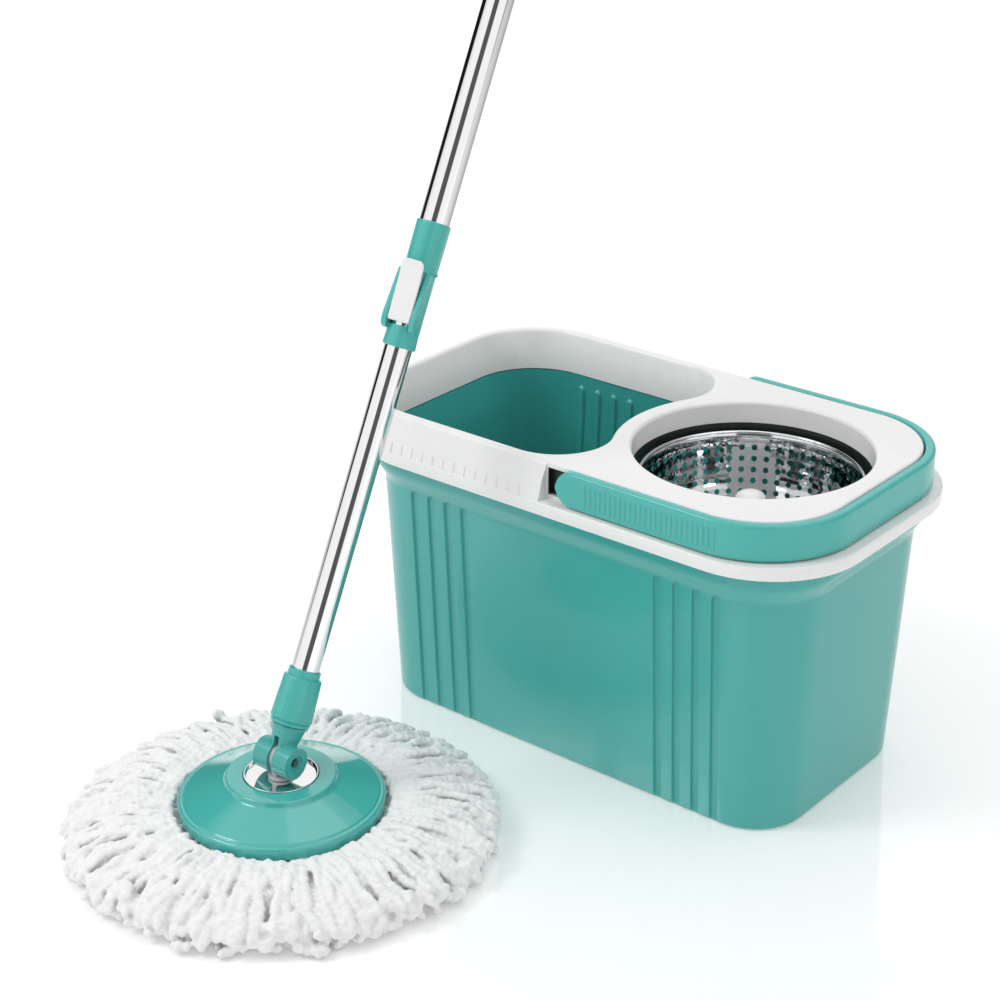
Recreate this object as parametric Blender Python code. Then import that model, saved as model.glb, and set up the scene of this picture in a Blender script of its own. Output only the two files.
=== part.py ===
"""Spin mop set: a leaning mop with a round fibre head, and its oval wringing bucket.

Run with: blender --background --python part.py
Metres, +Z up. The origin is the middle of the bucket's underside. X runs along the bucket,
towards its spin basket, and the mop stands in front of the bucket, at -Y.
"""

import math

import bmesh
import bpy
from mathutils import Matrix, Vector

# ---- driving dimensions ---------------------------------------------------------------------

GAP = 0.0003

# bucket, all half sizes: length, width, corner radius
HEIGHT = 0.275
FOOT = (0.2030, 0.1050, 0.0466)
NECK = (0.2120, 0.1162, 0.0560)
NECK_Z = 0.2080
SHELL_TOP_Z = 0.2412
WALL = 0.0025
FLARE = 0.0105
FLOOR_Z = 0.0035
GROOVE_XS = [-0.1493 + 0.0177 * i for i in range(4)] + [0.0967 + 0.0180 * i for i in range(4)]
GROOVE_WIDTH = 0.0085
GROOVE_DEPTH = 0.0022

# rim cover
FLANGE = (0.2340, 0.1360, 0.0830)
FLANGE_Z = (0.2335, 0.2445)
RIM = (0.2280, 0.1252, 0.0725)
SEAT = (0.2165, 0.1240, 0.0720)
SEAT_LEFT_X = 0.0
COVER_WALL = 0.0025
SKIRT_WALL = 0.0022
ABOVE_Z = 0.2900
OPENING_STEPS = 56
PLATE_Z = HEIGHT - COVER_WALL
WELL = (0.2195, 0.1165, 0.0640)
WELL_FILLET = 0.0455
WELL_SKIRT_Z = 0.2390
WELL_TAPER = 0.0040
BASKET_X = 0.1045
BASKET_GUARD_R = 0.1120
BASKET_OPENING_R = 0.0953
BASKET_SKIRT_Z = 0.2580

# carrying handle
HANDLE_OUT = (0.2262, 0.1325, 0.0810)
HANDLE_IN = (0.2182, 0.1252, 0.0740)
HANDLE_Z = (0.2455, HEIGHT)
HANDLE_PIVOT = Vector((0.0250, 0.0, 0.26025))
HANDLE_STUB_R = 0.0050

# spin basket
BASKET_RIM_Z = 0.2505
BASKET_FLOOR_Z = 0.1615
BASKET_RIM_R = 0.0905
BASKET_SHEET = 0.0011
BASKET_DRAINS = 8
HUB_TOP_Z = 0.2370
SPINDLE_R = 0.0040

# mop head
MOP = Vector((-0.0960, -0.3360, 0.0))
DISC_R = 0.0803
DISC_EDGE_Z = 0.0410
HUB_RING_Z = 0.0595
PIN_Z = 0.0740
PAD_R = 0.1680

# pole, measured along its axis from the knuckle pin
LEAN = math.radians(26.4)
SLEEVE_TURN = math.radians(16.0)
LOWER_R = 0.0109
UPPER_R = 0.0117
TUBE_WALL_LOWER = 0.0008
TUBE_WALL_UPPER = 0.0005
LOWER_SPAN = (0.0280, 0.6600)
UPPER_SPAN = (0.4120, 0.9550)
COLLAR_SPAN = (0.0268, 0.0705)
SLEEVE_SPAN = (0.3265, 0.4245)
BEAD_S = 0.3870
LEVER_PIN = (0.3475, -0.0136)
ROD_SPAN = (0.3200, 0.9200)
ROD_SIDE = 0.0060
ROD_PITCH = 0.0750
NUT_SPAN = (0.6345, 0.6495)
GRIP_SPAN = (0.8150, 0.9550)
GRIP_GROOVES = 4
CAP_TOP_S = 0.9900

TEAL = (0.095, 0.392, 0.350, 1.0)
WHITE = (0.88, 0.88, 0.88, 1.0)
GREY = (0.55, 0.55, 0.56, 1.0)
STEEL = (0.72, 0.73, 0.74, 1.0)
FIBRE = (0.90, 0.90, 0.89, 1.0)


# ---- scene and helpers ----------------------------------------------------------------------

def clear_scene():
    for obj in list(bpy.data.objects):
        bpy.data.objects.remove(obj, do_unlink=True)


def material(name, colour, roughness, metallic=0.0):
    mat = bpy.data.materials.new(name)
    mat.use_nodes = True
    shader = mat.node_tree.nodes["Principled BSDF"]
    shader.inputs["Base Color"].default_value = colour
    shader.inputs["Roughness"].default_value = roughness
    shader.inputs["Metallic"].default_value = metallic
    mat.diffuse_color = colour
    return mat


def frame(name, location=(0, 0, 0), turn=None, parent=None):
    """An empty that holds a joint's place and direction."""
    empty = bpy.data.objects.new(name, None)
    bpy.context.scene.collection.objects.link(empty)
    empty.parent = parent
    empty.location = location
    if turn:
        empty.rotation_euler = turn
    return empty


def add(name, bm, parent=None, mat=None):
    """Turns a bmesh into an object with faces pointing out and soft round sides."""
    bmesh.ops.recalc_face_normals(bm, faces=bm.faces)
    mesh = bpy.data.meshes.new(name)
    bm.to_mesh(mesh)
    bm.free()
    mesh.shade_smooth()
    mesh.set_sharp_from_angle(angle=math.radians(32))
    obj = bpy.data.objects.new(name, mesh)
    bpy.context.scene.collection.objects.link(obj)
    obj.parent = parent
    if mat:
        colour, roughness, metallic = mat
        mesh.materials.append(material(name, colour, roughness, metallic))
    return obj


def cutter(name, bm, parent=None):
    obj = add(name, bm, parent)
    obj.hide_render = True
    obj.display_type = "WIRE"
    return obj


def boolean(obj, tool, operation="DIFFERENCE"):
    mod = obj.modifiers.new(operation.lower(), "BOOLEAN")
    mod.operation = operation
    mod.solver = "EXACT"
    mod.object = tool


def loft(loops, closed_chain=False):
    """Joins loops of equal length with faces. The ends are capped, or joined to each other."""
    bm = bmesh.new()
    rows = [[bm.verts.new(p) for p in loop] for loop in loops]
    count = len(rows[0])
    pairs = list(zip(rows, rows[1:]))
    if closed_chain:
        pairs.append((rows[-1], rows[0]))
    for low, high in pairs:
        for i in range(count):
            j = (i + 1) % count
            bm.faces.new((low[i], low[j], high[j], high[i]))
    if not closed_chain:
        bm.faces.new(rows[0])
        bm.faces.new(rows[-1])
    return bm


def lathe(profile, steps=48, centre=(0.0, 0.0)):
    """Turns a closed (radius, z) outline about Z. One that touches the axis starts and ends there."""
    cx, cy = centre
    bm = bmesh.new()
    solid = profile[0][0] < 1e-9
    ring_points = profile[1:-1] if solid else profile
    rings = []
    for r, z in ring_points:
        angles = (2 * math.pi * k / steps for k in range(steps))
        rings.append([bm.verts.new((cx + r * math.cos(a), cy + r * math.sin(a), z)) for a in angles])
    chain = list(zip(rings, rings[1:]))
    if not solid:
        chain.append((rings[-1], rings[0]))
    for low, high in chain:
        for i in range(steps):
            j = (i + 1) % steps
            bm.faces.new((low[i], low[j], high[j], high[i]))
    if solid:
        for (_, z), ring in ((profile[0], rings[0]), (profile[-1], rings[-1])):
            tip = bm.verts.new((cx, cy, z))
            for i in range(steps):
                bm.faces.new((tip, ring[i], ring[(i + 1) % steps]))
    return bm


def ring_profile(inner, outer, low, high):
    return [(inner, low), (outer, low), (outer, high), (inner, high)]


def rod_profile(radius, low, high):
    return [(0.0, low), (radius, low), (radius, high), (0.0, high)]


def box(low, high):
    bm = bmesh.new()
    bmesh.ops.create_cube(bm, size=1.0)
    low, high = Vector(low), Vector(high)
    size = high - low
    centre = (low + high) / 2
    place = Matrix.Translation(centre) @ Matrix.Diagonal((*size, 1.0))
    bmesh.ops.transform(bm, matrix=place, verts=bm.verts)
    return bm


def cylinder(centre, radius, length, axis="Z", steps=32):
    bm = bmesh.new()
    turn = {"X": Matrix.Rotation(math.pi / 2, 4, "Y"), "Y": Matrix.Rotation(math.pi / 2, 4, "X"),
            "Z": Matrix.Identity(4)}[axis]
    bmesh.ops.create_cone(bm, cap_ends=True, segments=steps, radius1=radius, radius2=radius, depth=length,
                          matrix=Matrix.Translation(centre) @ turn)
    return bm


def join(*meshes):
    """Puts several closed bodies in one bmesh, for a tool that cuts in several places."""
    whole = bmesh.new()
    for bm in meshes:
        part = bpy.data.meshes.new("part")
        bm.to_mesh(part)
        bm.free()
        whole.from_mesh(part)
        bpy.data.meshes.remove(part)
    return whole


def prism(outline, low, high):
    return loft([[(x, y, low) for x, y in outline], [(x, y, high) for x, y in outline]])


def side_plate(outline, x_low, x_high):
    """A plate across X from an outline of (z, y) points."""
    return loft([[(x_low, y, z) for z, y in outline], [(x_high, y, z) for z, y in outline]])


def arc(cx, cy, r, start, end, steps):
    """Points of an arc, angles in degrees."""
    angles = [math.radians(start + (end - start) * k / steps) for k in range(steps + 1)]
    return [(cx + r * math.cos(a), cy + r * math.sin(a)) for a in angles]


# ---- outlines of the bucket -----------------------------------------------------------------

def rounded(size, grow=0.0, corner_steps=10):
    """A rounded rectangle, counter-clockwise from the right end of the back side."""
    length, width, radius = (v + grow for v in size)
    x, y = length - radius, width - radius
    return (arc(x, y, radius, 0, 90, corner_steps) + arc(-x, y, radius, 90, 180, corner_steps)
            + arc(-x, -y, radius, 180, 270, corner_steps) + arc(x, -y, radius, 270, 360, corner_steps))


def grooved(size, grow, depth, steps=6):
    """The same outline with the pressed-in grooves of the two long walls."""
    length, width, radius = (v + grow for v in size)
    x, y = length - radius, width - radius

    def wall(side):
        points = []
        for gx in GROOVE_XS:
            for dx, dip in ((-0.5, 0.0), (-0.28, 1.0), (0.28, 1.0), (0.5, 0.0)):
                points.append((gx + dx * GROOVE_WIDTH, side * (width - dip * depth)))
        return points

    return (arc(x, y, radius, 0, 90, steps) + wall(1)[::-1] + arc(-x, y, radius, 90, 180, steps)
            + arc(-x, -y, radius, 180, 270, steps) + wall(-1) + arc(x, -y, radius, 270, 360, steps))


def wall_size(z):
    """Half length, half width and corner radius of the tapered wall at a height."""
    t = min(z, NECK_Z) / NECK_Z
    return tuple(a + (b - a) * t for a, b in zip(FOOT, NECK))


def well_outline(grow=0.0):
    """The water opening: a rounded rectangle that the basket's guard ring bites into."""
    length, width, radius = (v + grow for v in WELL)
    x, y = length - radius, width - radius
    fillet_y = WELL[1] - WELL_FILLET
    reach = BASKET_GUARD_R + WELL_FILLET
    fillet_x = BASKET_X - math.sqrt(reach ** 2 - fillet_y ** 2)
    meet = math.degrees(math.asin(fillet_y / reach))
    fillet, guard = WELL_FILLET + grow, BASKET_GUARD_R - grow
    return (arc(-x, y, radius, 180, 90, 10)[::-1] + arc(-x, -y, radius, 180, 270, 10)
            + arc(fillet_x, -fillet_y, fillet, 270, 360 + meet, 12)
            + arc(BASKET_X, 0, guard, 180 + meet, 180 - meet, 14)[1:-1]
            + arc(fillet_x, fillet_y, fillet, -meet, 90, 12))


# ---- bucket ---------------------------------------------------------------------------------

def bucket_shell():
    def level(z, grow, depth):
        return [(x, y, z) for x, y in grooved(wall_size(z), grow, depth)]

    flare = [(0.2060, 0.0, 1.0), (0.2085, 0.0005, 0.0), (0.2150, 0.0075, 0.0), (SHELL_TOP_Z, FLARE, 0.0)]
    outside = [level(0.0, -0.0030, GROOVE_DEPTH), level(0.0030, 0.0, GROOVE_DEPTH)]
    outside += [level(z, grow, GROOVE_DEPTH * dip) for z, grow, dip in flare]
    inside = [level(z, grow - WALL, GROOVE_DEPTH * dip) for z, grow, dip in reversed(flare)]
    inside += [level(FLOOR_Z, -WALL, GROOVE_DEPTH)]
    add("bucket_shell", loft(outside + inside), mat=(TEAL, 0.32, 0.0))


def cover_shape(grow, low):
    """The cover's outer form, from its flange up to the rounded top edge."""
    def level(size, more, z):
        return [(x, y, z) for x, y in rounded(size, grow + more)]

    ledge = FLANGE_Z[1] + grow / 2
    top = HEIGHT + grow
    return loft([level(FLANGE, 0.0, low), level(FLANGE, 0.0, ledge - 0.0012), level(FLANGE, -0.0012, ledge),
                 level(RIM, 0.0006, top - 0.0050), level(RIM, -0.0010, top - 0.0016),
                 level(RIM, -0.0036, top)])


def tapered_well(grow, low, high):
    """The water opening's funnel: it narrows from the top edge to the skirt's lower edge."""
    slope = WELL_TAPER / (HEIGHT - WELL_SKIRT_Z)

    def level(z):
        return [(x, y, z) for x, y in well_outline(grow - slope * (HEIGHT - z))]

    return loft([level(low), level(high)])


def rim_cover():
    cover = add("rim_cover", cover_shape(0.0, FLANGE_Z[0]), mat=(WHITE, 0.28, 0.0))

    # the hollow under the plate: wide at the flange, narrow beside the handle's seat
    hollow = cutter("cover_hollow", prism(rounded(FLANGE, -COVER_WALL), 0.2200, SHELL_TOP_Z + GAP))
    seat_room = cutter("cover_seat_room", prism(rounded(SEAT, -COVER_WALL), 0.2300, PLATE_Z))
    left_room = cutter("cover_left_room", cover_shape(-COVER_WALL, 0.2300))
    left_corner = (SEAT_LEFT_X - COVER_WALL, 0.2, 0.3)
    left_half = cutter("cover_left_half", box((-0.3, -0.2, 0.2), left_corner))
    boolean(left_room, left_half, "INTERSECT")
    boolean(hollow, seat_room, "UNION")
    boolean(hollow, left_room, "UNION")

    # what stays inside that hollow: the two skirts
    well_skirt = cutter("cover_well_skirt", tapered_well(SKIRT_WALL, WELL_SKIRT_Z, ABOVE_Z))
    skirt_r = BASKET_OPENING_R + SKIRT_WALL
    basket_skirt = cutter("cover_basket_skirt", lathe(
        rod_profile(skirt_r, BASKET_SKIRT_Z, ABOVE_Z), OPENING_STEPS, (BASKET_X, 0)))
    boolean(hollow, well_skirt)
    boolean(hollow, basket_skirt)
    boolean(cover, hollow)

    boolean(cover, cutter("cover_well", tapered_well(0.0, 0.2250, HEIGHT + 0.006)))
    basket_hole = lathe(rod_profile(BASKET_OPENING_R, 0.2300, ABOVE_Z), OPENING_STEPS, (BASKET_X, 0))
    boolean(cover, cutter("cover_basket_hole", basket_hole))

    # the handle's seat: a step round the right end, with a hole and a pivot bearing in each side
    seat = cutter("cover_seat", box((SEAT_LEFT_X, -0.2, FLANGE_Z[1]), (0.3, 0.2, 0.3)))
    boolean(seat, cutter("cover_seat_core", prism(rounded(SEAT), 0.24, 0.31)))
    boolean(cover, seat)
    sides = []
    reach = 0.0060
    for y in (-SEAT[1], SEAT[1]):
        sides.append(box((0.0012, y - reach, 0.2480), (0.0150, y + reach, 0.2685)))
        bearing = (HANDLE_PIVOT.x, y, HANDLE_PIVOT.z)
        sides.append(cylinder(bearing, HANDLE_STUB_R + GAP, 2 * reach, "Y", 24))
    boolean(cover, cutter("cover_side_holes", join(*sides)))


def carry_handle():
    pivot = frame("handle_pivot", HANDLE_PIVOT)

    def bow(size):
        """One side of the U, from the front arm's end round the right end to the back arm's end."""
        length, width, radius = size
        back = arc(length - radius, width - radius, radius, 0, 90, 12) + [(HANDLE_PIVOT.x, width)]
        return [(x, -y) for x, y in reversed(back)] + back

    outline = bow(HANDLE_OUT) + bow(HANDLE_IN)[::-1]
    local = [(x - HANDLE_PIVOT.x, y) for x, y in outline]
    low, high = (z - HANDLE_PIVOT.z for z in HANDLE_Z)
    handle = add("carry_handle", prism(local, low, high), pivot, (TEAL, 0.30, 0.0))
    thickness = HANDLE_OUT[1] - HANDLE_IN[1]
    middle = (HANDLE_OUT[1] + HANDLE_IN[1]) / 2
    stub_end = SEAT[1] - COVER_WALL - 0.0010
    for side, name in ((-1, "front"), (1, "back")):
        end = cylinder((0, side * middle, 0), (high - low) / 2, thickness, "Y", 40)
        stub_middle = side * (middle + stub_end) / 2
        stub = cylinder((0, stub_middle, 0), HANDLE_STUB_R, middle - stub_end, "Y", 24)
        boolean(handle, cutter(f"handle_end_{name}", end, pivot), "UNION")
        boolean(handle, cutter(f"handle_stub_{name}", stub, pivot), "UNION")


def spindle():
    axis = frame("spindle_axis", (BASKET_X, 0, 0))
    foot = FLOOR_Z + GAP
    bore = SPINDLE_R + GAP
    stand = [(0.0300, foot), (0.0360, foot), (0.0360, foot + 0.003), (0.0270, foot + 0.006), (0.0140, 0.1400),
             (0.0140, 0.1480), (bore, 0.1480), (bore, 0.1180), (0.0100, 0.1150)]
    add("spindle_stand", lathe(stand, 28), axis, (WHITE, 0.45, 0.0))
    add("spindle_rod", lathe(rod_profile(SPINDLE_R, 0.1060, 0.2220), 20), axis, (STEEL, 0.25, 1.0))


def basket():
    axis = frame("basket_axis", (BASKET_X, 0, 0))
    floor, sheet = BASKET_FLOOR_Z, BASKET_SHEET
    outside = [(0.0205, floor), (0.0560, floor), (0.0700, floor + 0.0035), (0.0785, floor + 0.0130),
               (0.0825, floor + 0.0330), (0.0876, BASKET_RIM_Z - 0.0030)]
    bead = [(BASKET_RIM_R, BASKET_RIM_Z - 0.0012), (BASKET_RIM_R, BASKET_RIM_Z + 0.0004),
            (0.0885, BASKET_RIM_Z + 0.0016)]
    inside = [(r - sheet, z + sheet * 0.4) for r, z in reversed(outside[2:])]
    inside += [(0.0556, floor + sheet), (0.0205, floor + sheet)]
    bowl = add("basket_bowl", lathe(outside + bead + inside, 44), axis, (STEEL, 0.12, 1.0))
    drains = []
    for k in range(BASKET_DRAINS):
        a = math.tau * k / BASKET_DRAINS
        drains.append(cylinder((0.044 * math.cos(a), 0.044 * math.sin(a), floor), 0.0040, 0.012, "Z", 8))
    boolean(bowl, cutter("basket_drains", join(*drains), axis))

    hub = [(0.0078, 0.1560), (0.0300, 0.1560), (0.0300, floor - GAP), (0.0198, floor - GAP), (0.0190, 0.1800),
           (0.0150, 0.2100), (0.0124, 0.2262), (0.0078, 0.2262)]
    add("basket_hub", lathe(hub, 28), axis, (WHITE, 0.40, 0.0))
    cap = [(0.0, 0.2245), (0.0074, 0.2245), (0.0074, 0.2265), (0.0126, 0.2265), (0.0126, 0.2300),
           (0.0112, 0.2342), (0.0070, 0.2364), (0.0, HUB_TOP_Z)]
    add("hub_cap", lathe(cap, 28), axis, (WHITE, 0.35, 0.0))
    clamp = ring_profile(0.0202, 0.0300, floor + sheet + GAP, floor + sheet + 0.0030)
    add("clamp_ring", lathe(clamp, 28), axis, (WHITE, 0.40, 0.0))
    bush = ring_profile(SPINDLE_R + GAP, 0.0075, 0.1580, 0.2180)
    add("spin_bush", lathe(bush, 20), axis, (GREY, 0.45, 0.0))


# ---- mop head -------------------------------------------------------------------------------

def mop_head():
    axis = frame("mop_axis", MOP)
    pad = [(0.0, 0.0), (0.1560, 0.0), (0.1640, 0.0030), (PAD_R, 0.0100), (0.1660, 0.0180), (0.1560, 0.0240),
           (0.1300, 0.0300), (0.1000, 0.0335), (0.0850, 0.0335), (0.0800, 0.0318), (0.0770, 0.0240),
           (0.0, 0.0240)]
    add("fibre_pad", lathe(pad, 40), axis, (FIBRE, 0.95, 0.0))
    pad_ring = ring_profile(0.0600, 0.0740, 0.0244, 0.0287)
    add("pad_ring", lathe(pad_ring, 40), axis, (WHITE, 0.45, 0.0))

    base_ring = ring_profile(0.0140, 0.0770, 0.0290, 0.0322)
    base = add("disc_base", lathe(base_ring, 40), axis, (WHITE, 0.45, 0.0))
    edge, ring = DISC_EDGE_Z, HUB_RING_Z
    top = [(0.0294, ring - 0.0034), (0.0294, ring), (0.0428, ring), (0.0442, ring - 0.0042),
           (0.0750, edge + 0.0026), (0.0762, edge + 0.0012), (0.0788, edge + 0.0016), (DISC_R, edge),
           (DISC_R + 0.0004, 0.0330)]
    under = [(0.0784, 0.0330), (0.0781, edge - 0.0016), (0.0425, ring - 0.0066), (0.0140, ring - 0.0066),
             (0.0140, 0.0330), (0.0104, 0.0330), (0.0104, ring - 0.0034)]
    cover = add("disc_cover", lathe(top + under, 44), axis, (TEAL, 0.22, 0.0))
    bosses, bores, holes = [], [], []
    for k in range(3):
        a = math.tau * (k + 0.25) / 3
        at = (0.050 * math.cos(a), 0.050 * math.sin(a))
        bosses.append(cylinder((*at, 0.0422), 0.0040, 0.0188, steps=12))
        bores.append(cylinder((*at, 0.0370), 0.0018, 0.0130, steps=12))
        holes.append(cylinder((*at, 0.0300), 0.0019, 0.0200, steps=12))
        screw = [(0.0, 0.0270), (0.0030, 0.0270), (0.0030, 0.0287), (0.0015, 0.0287), (0.0015, 0.0425),
                 (0.0, 0.0425)]
        add(f"disc_screw_{k + 1}", lathe(screw, 12, at), axis, (STEEL, 0.35, 1.0))
    boolean(cover, cutter("disc_bosses", join(*bosses), axis), "UNION")
    boolean(cover, cutter("disc_bores", join(*bores), axis))
    boolean(base, cutter("disc_base_holes", join(*holes), axis))

    plate_z = ring - 0.0034 + GAP
    plate = [(0.0066, plate_z), (0.0290, plate_z), (0.0290, ring + 0.0006), (0.0280, ring + 0.0006),
             (0.0272, plate_z + 0.0008), (0.0066, plate_z + 0.0008)]
    add("chrome_plate", lathe(plate, 40), axis, (STEEL, 0.04, 1.0))
    bush = ring_profile(0.0062, 0.0101, 0.0300, plate_z - 2 * GAP)
    add("swivel_bush", lathe(bush, 20), axis, (GREY, 0.45, 0.0))


def swivel():
    axis = frame("swivel_axis", MOP)
    flange_z = HUB_RING_Z - 0.0034 + GAP + 0.0008 + GAP
    stem = [(0.0, 0.0262), (0.0059, 0.0262), (0.0059, flange_z), (0.0100, flange_z),
            (0.0100, flange_z + 0.0018), (0.0080, flange_z + 0.0026), (0.0, flange_z + 0.0026)]
    link = add("pivot_link", lathe(stem, 24), axis, (GREY, 0.35, 0.0))
    eye = [(PIN_Z + dz, dy) for dy, dz in arc(0, 0, 0.0102, -20, 200, 16)]
    foot = flange_z + 0.0010
    outline = [(foot, 0.0070)] + eye + [(foot, -0.0070)]
    plate = cutter("link_plate", side_plate(outline, -0.0021, 0.0021), axis)
    boolean(link, plate, "UNION")
    boolean(link, cutter("link_bore", cylinder((0, 0, PIN_Z), 0.0033, 0.02, "X", 20), axis))
    add("swivel_nut", lathe(ring_profile(0.0062, 0.0118, 0.0264, 0.0287), 24), axis, (STEEL, 0.35, 1.0))


# ---- pole -----------------------------------------------------------------------------------

def knuckle(pole):
    body = [(0.0, 0.0), (0.0098, 0.0), (0.0104, 0.0120), (0.0134, 0.0245), (0.0134, 0.0262), (0.0094, 0.0266),
            (0.0094, 0.0580), (0.0, 0.0580)]
    yoke = add("knuckle", lathe(body, 28), pole, (TEAL, 0.28, 0.0))
    boolean(yoke, cutter("knuckle_barrel", cylinder((0, 0, 0), 0.0120, 0.0350, "X", 28), pole), "UNION")
    front = [(-0.0200, 0.0250), (0.0040, 0.0250)]
    back = [(0.0040, -0.0250), (-0.0200, -0.0250)]
    slot = front + [(dz, dy) for dy, dz in arc(0, 0, 0.0125, 15, 165, 12)] + back
    boolean(yoke, cutter("knuckle_slot", side_plate(slot, -0.0025, 0.0025), pole))
    boolean(yoke, cutter("knuckle_bore", cylinder((0, 0, 0), 0.0033, 0.05, "X", 20), pole))
    add("knuckle_pin", cylinder((0, 0, 0), 0.0030, 0.0335, "X", 20), pole, (STEEL, 0.2, 1.0))


def screw_collar(pole):
    axis = frame("collar_axis", (0, 0, COLLAR_SPAN[0]), parent=pole)
    flutes = 14

    def ring(radius, s, dip=0.0):
        points = []
        for k in range(flutes * 2):
            a = math.pi * k / flutes
            r = radius - (dip if k % 2 else 0.0)
            points.append((r * math.cos(a), r * math.sin(a), s - COLLAR_SPAN[0]))
        return points

    low, high = COLLAR_SPAN
    bore = LOWER_R + 0.0004
    dip = 0.0007
    loops = [ring(bore, low), ring(0.0155, low), ring(0.0155, low + 0.0030), ring(0.0164, low + 0.0036, dip),
             ring(0.0149, high - 0.0070, dip), ring(0.0142, high - 0.0060), ring(0.0126, high - 0.0058),
             ring(0.0126, high), ring(bore, high)]
    add("screw_collar", loft(loops, closed_chain=True), axis, (TEAL, 0.30, 0.0))


def tubes(pole, slide):
    low, high = LOWER_SPAN
    inner = LOWER_R - TUBE_WALL_LOWER
    add("lower_tube", lathe(ring_profile(inner, LOWER_R, low, high), 28), pole, (STEEL, 0.08, 1.0))
    base = UPPER_SPAN[0]
    tube = ring_profile(UPPER_R - TUBE_WALL_UPPER, UPPER_R, 0.0, UPPER_SPAN[1] - base)
    add("upper_tube", lathe(tube, 28), slide, (STEEL, 0.08, 1.0))


def twisted(side, low, high, step, start=0.0):
    """A square bar twisted at ROD_PITCH, so that any two cuts at one height match."""
    count = max(2, round((high - low) / step))
    reach = side / math.sqrt(2)
    loops = []
    for k in range(count + 1):
        s = low + (high - low) * k / count
        turn = math.tau * (s - start) / ROD_PITCH
        corners = [turn + q * math.pi / 2 for q in range(4)]
        loops.append([(reach * math.cos(a), reach * math.sin(a), s) for a in corners])
    return loft(loops)


def spin_drive(pole, slide):
    """The twisted rod hangs in the upper tube and runs through a ratchet nut in the lower tube's top."""
    base = UPPER_SPAN[0]
    housing = [(0.0056, 0.6280), (0.0098, 0.6280), (0.0098, 0.6590), (0.0080, 0.6590), (0.0080, 0.6320),
               (0.0056, 0.6320)]
    add("nut_housing", lathe(housing, 24), pole, (WHITE, 0.45, 0.0))
    retainer = ring_profile(0.0056, 0.0077, 0.6520, 0.6585)
    add("nut_retainer", lathe(retainer, 20), pole, (WHITE, 0.45, 0.0))
    axis = frame("nut_axis", parent=pole)
    nut = add("ratchet_nut", lathe(rod_profile(0.0076, *NUT_SPAN), 24), axis, (GREY, 0.5, 0.0))
    hole = twisted(ROD_SIDE + 0.0010, NUT_SPAN[0] - 0.002, NUT_SPAN[1] + 0.002, 0.0025)
    boolean(nut, cutter("nut_hole", hole, axis))
    rod = twisted(ROD_SIDE, *ROD_SPAN, 0.0075)
    bmesh.ops.translate(rod, vec=(0, 0, -base), verts=rod.verts)
    add("drive_rod", rod, slide, (STEEL, 0.3, 1.0))
    anchor = ring_profile(0.0046, UPPER_R - TUBE_WALL_UPPER - GAP, 0.9000 - base, 0.9300 - base)
    add("rod_anchor", lathe(anchor, 28), slide, (WHITE, 0.45, 0.0))


def lock(slide):
    base = UPPER_SPAN[0]
    turned = frame("sleeve_turn", turn=(0, 0, SLEEVE_TURN), parent=slide)
    low, high = (s - base for s in SLEEVE_SPAN)
    bead = BEAD_S - base
    bore, seat = LOWER_R + 0.0004, UPPER_R + GAP
    profile = [(bore, low), (0.0124, low), (0.0130, low + 0.0015), (0.0126, low + 0.0115),
               (0.0127, bead - 0.0016), (0.0139, bead - 0.0010), (0.0139, bead + 0.0002),
               (0.0131, bead + 0.0010), (0.0134, high - 0.0010), (0.0130, high), (seat, high), (seat, -GAP),
               (bore, -GAP)]
    sleeve = add("lock_sleeve", lathe(profile, 28), turned, (TEAL, 0.28, 0.0))
    pin_s, pin_y = LEVER_PIN[0] - base, LEVER_PIN[1]
    cheek = [(pin_s - 0.0095, -0.0060), (pin_s - 0.0080, -0.0135), (pin_s - 0.0035, -0.0163),
             (pin_s + 0.0030, -0.0163), (pin_s + 0.0380, -0.0105), (pin_s + 0.0390, -0.0060)]
    cheeks = [side_plate(cheek, x, x + 0.0022) for x in (-0.0137, 0.0115)]
    for k, plate in enumerate(cheeks):
        boolean(sleeve, cutter(f"sleeve_cheek_{k + 1}", plate, turned), "UNION")
    window = box((-0.0114, -0.0300, pin_s - 0.0045), (0.0114, -0.0040, pin_s + 0.0060))
    boolean(sleeve, cutter("sleeve_window", window, turned))
    boolean(sleeve, cutter("sleeve_pin_bore", cylinder((0, pin_y, pin_s), 0.0014, 0.04, "X", 16), turned))

    pivot = frame("lever_pivot", (0, pin_y, pin_s), parent=turned)
    boss = [(dz, dy) for dy, dz in arc(0, 0, 0.0022, 200, 340, 10)]
    plate = boss + [(0.0020, 0.0004), (0.0360, -0.0009), (0.0450, -0.0024), (0.0500, -0.0044),
                    (0.0506, -0.0054), (0.0498, -0.0062), (0.0440, -0.0044), (0.0360, -0.0031),
                    (0.0020, -0.0022)]
    lever = add("lock_lever", side_plate(plate, -0.0110, 0.0110), pivot, (WHITE, 0.30, 0.0))
    boolean(lever, cutter("lever_bore", cylinder((0, 0, 0), 0.0013, 0.04, "X", 16), pivot))
    add("lever_pin", cylinder((0, pin_y, pin_s), 0.0011, 0.0268, "X", 14), turned, (STEEL, 0.25, 1.0))


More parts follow.
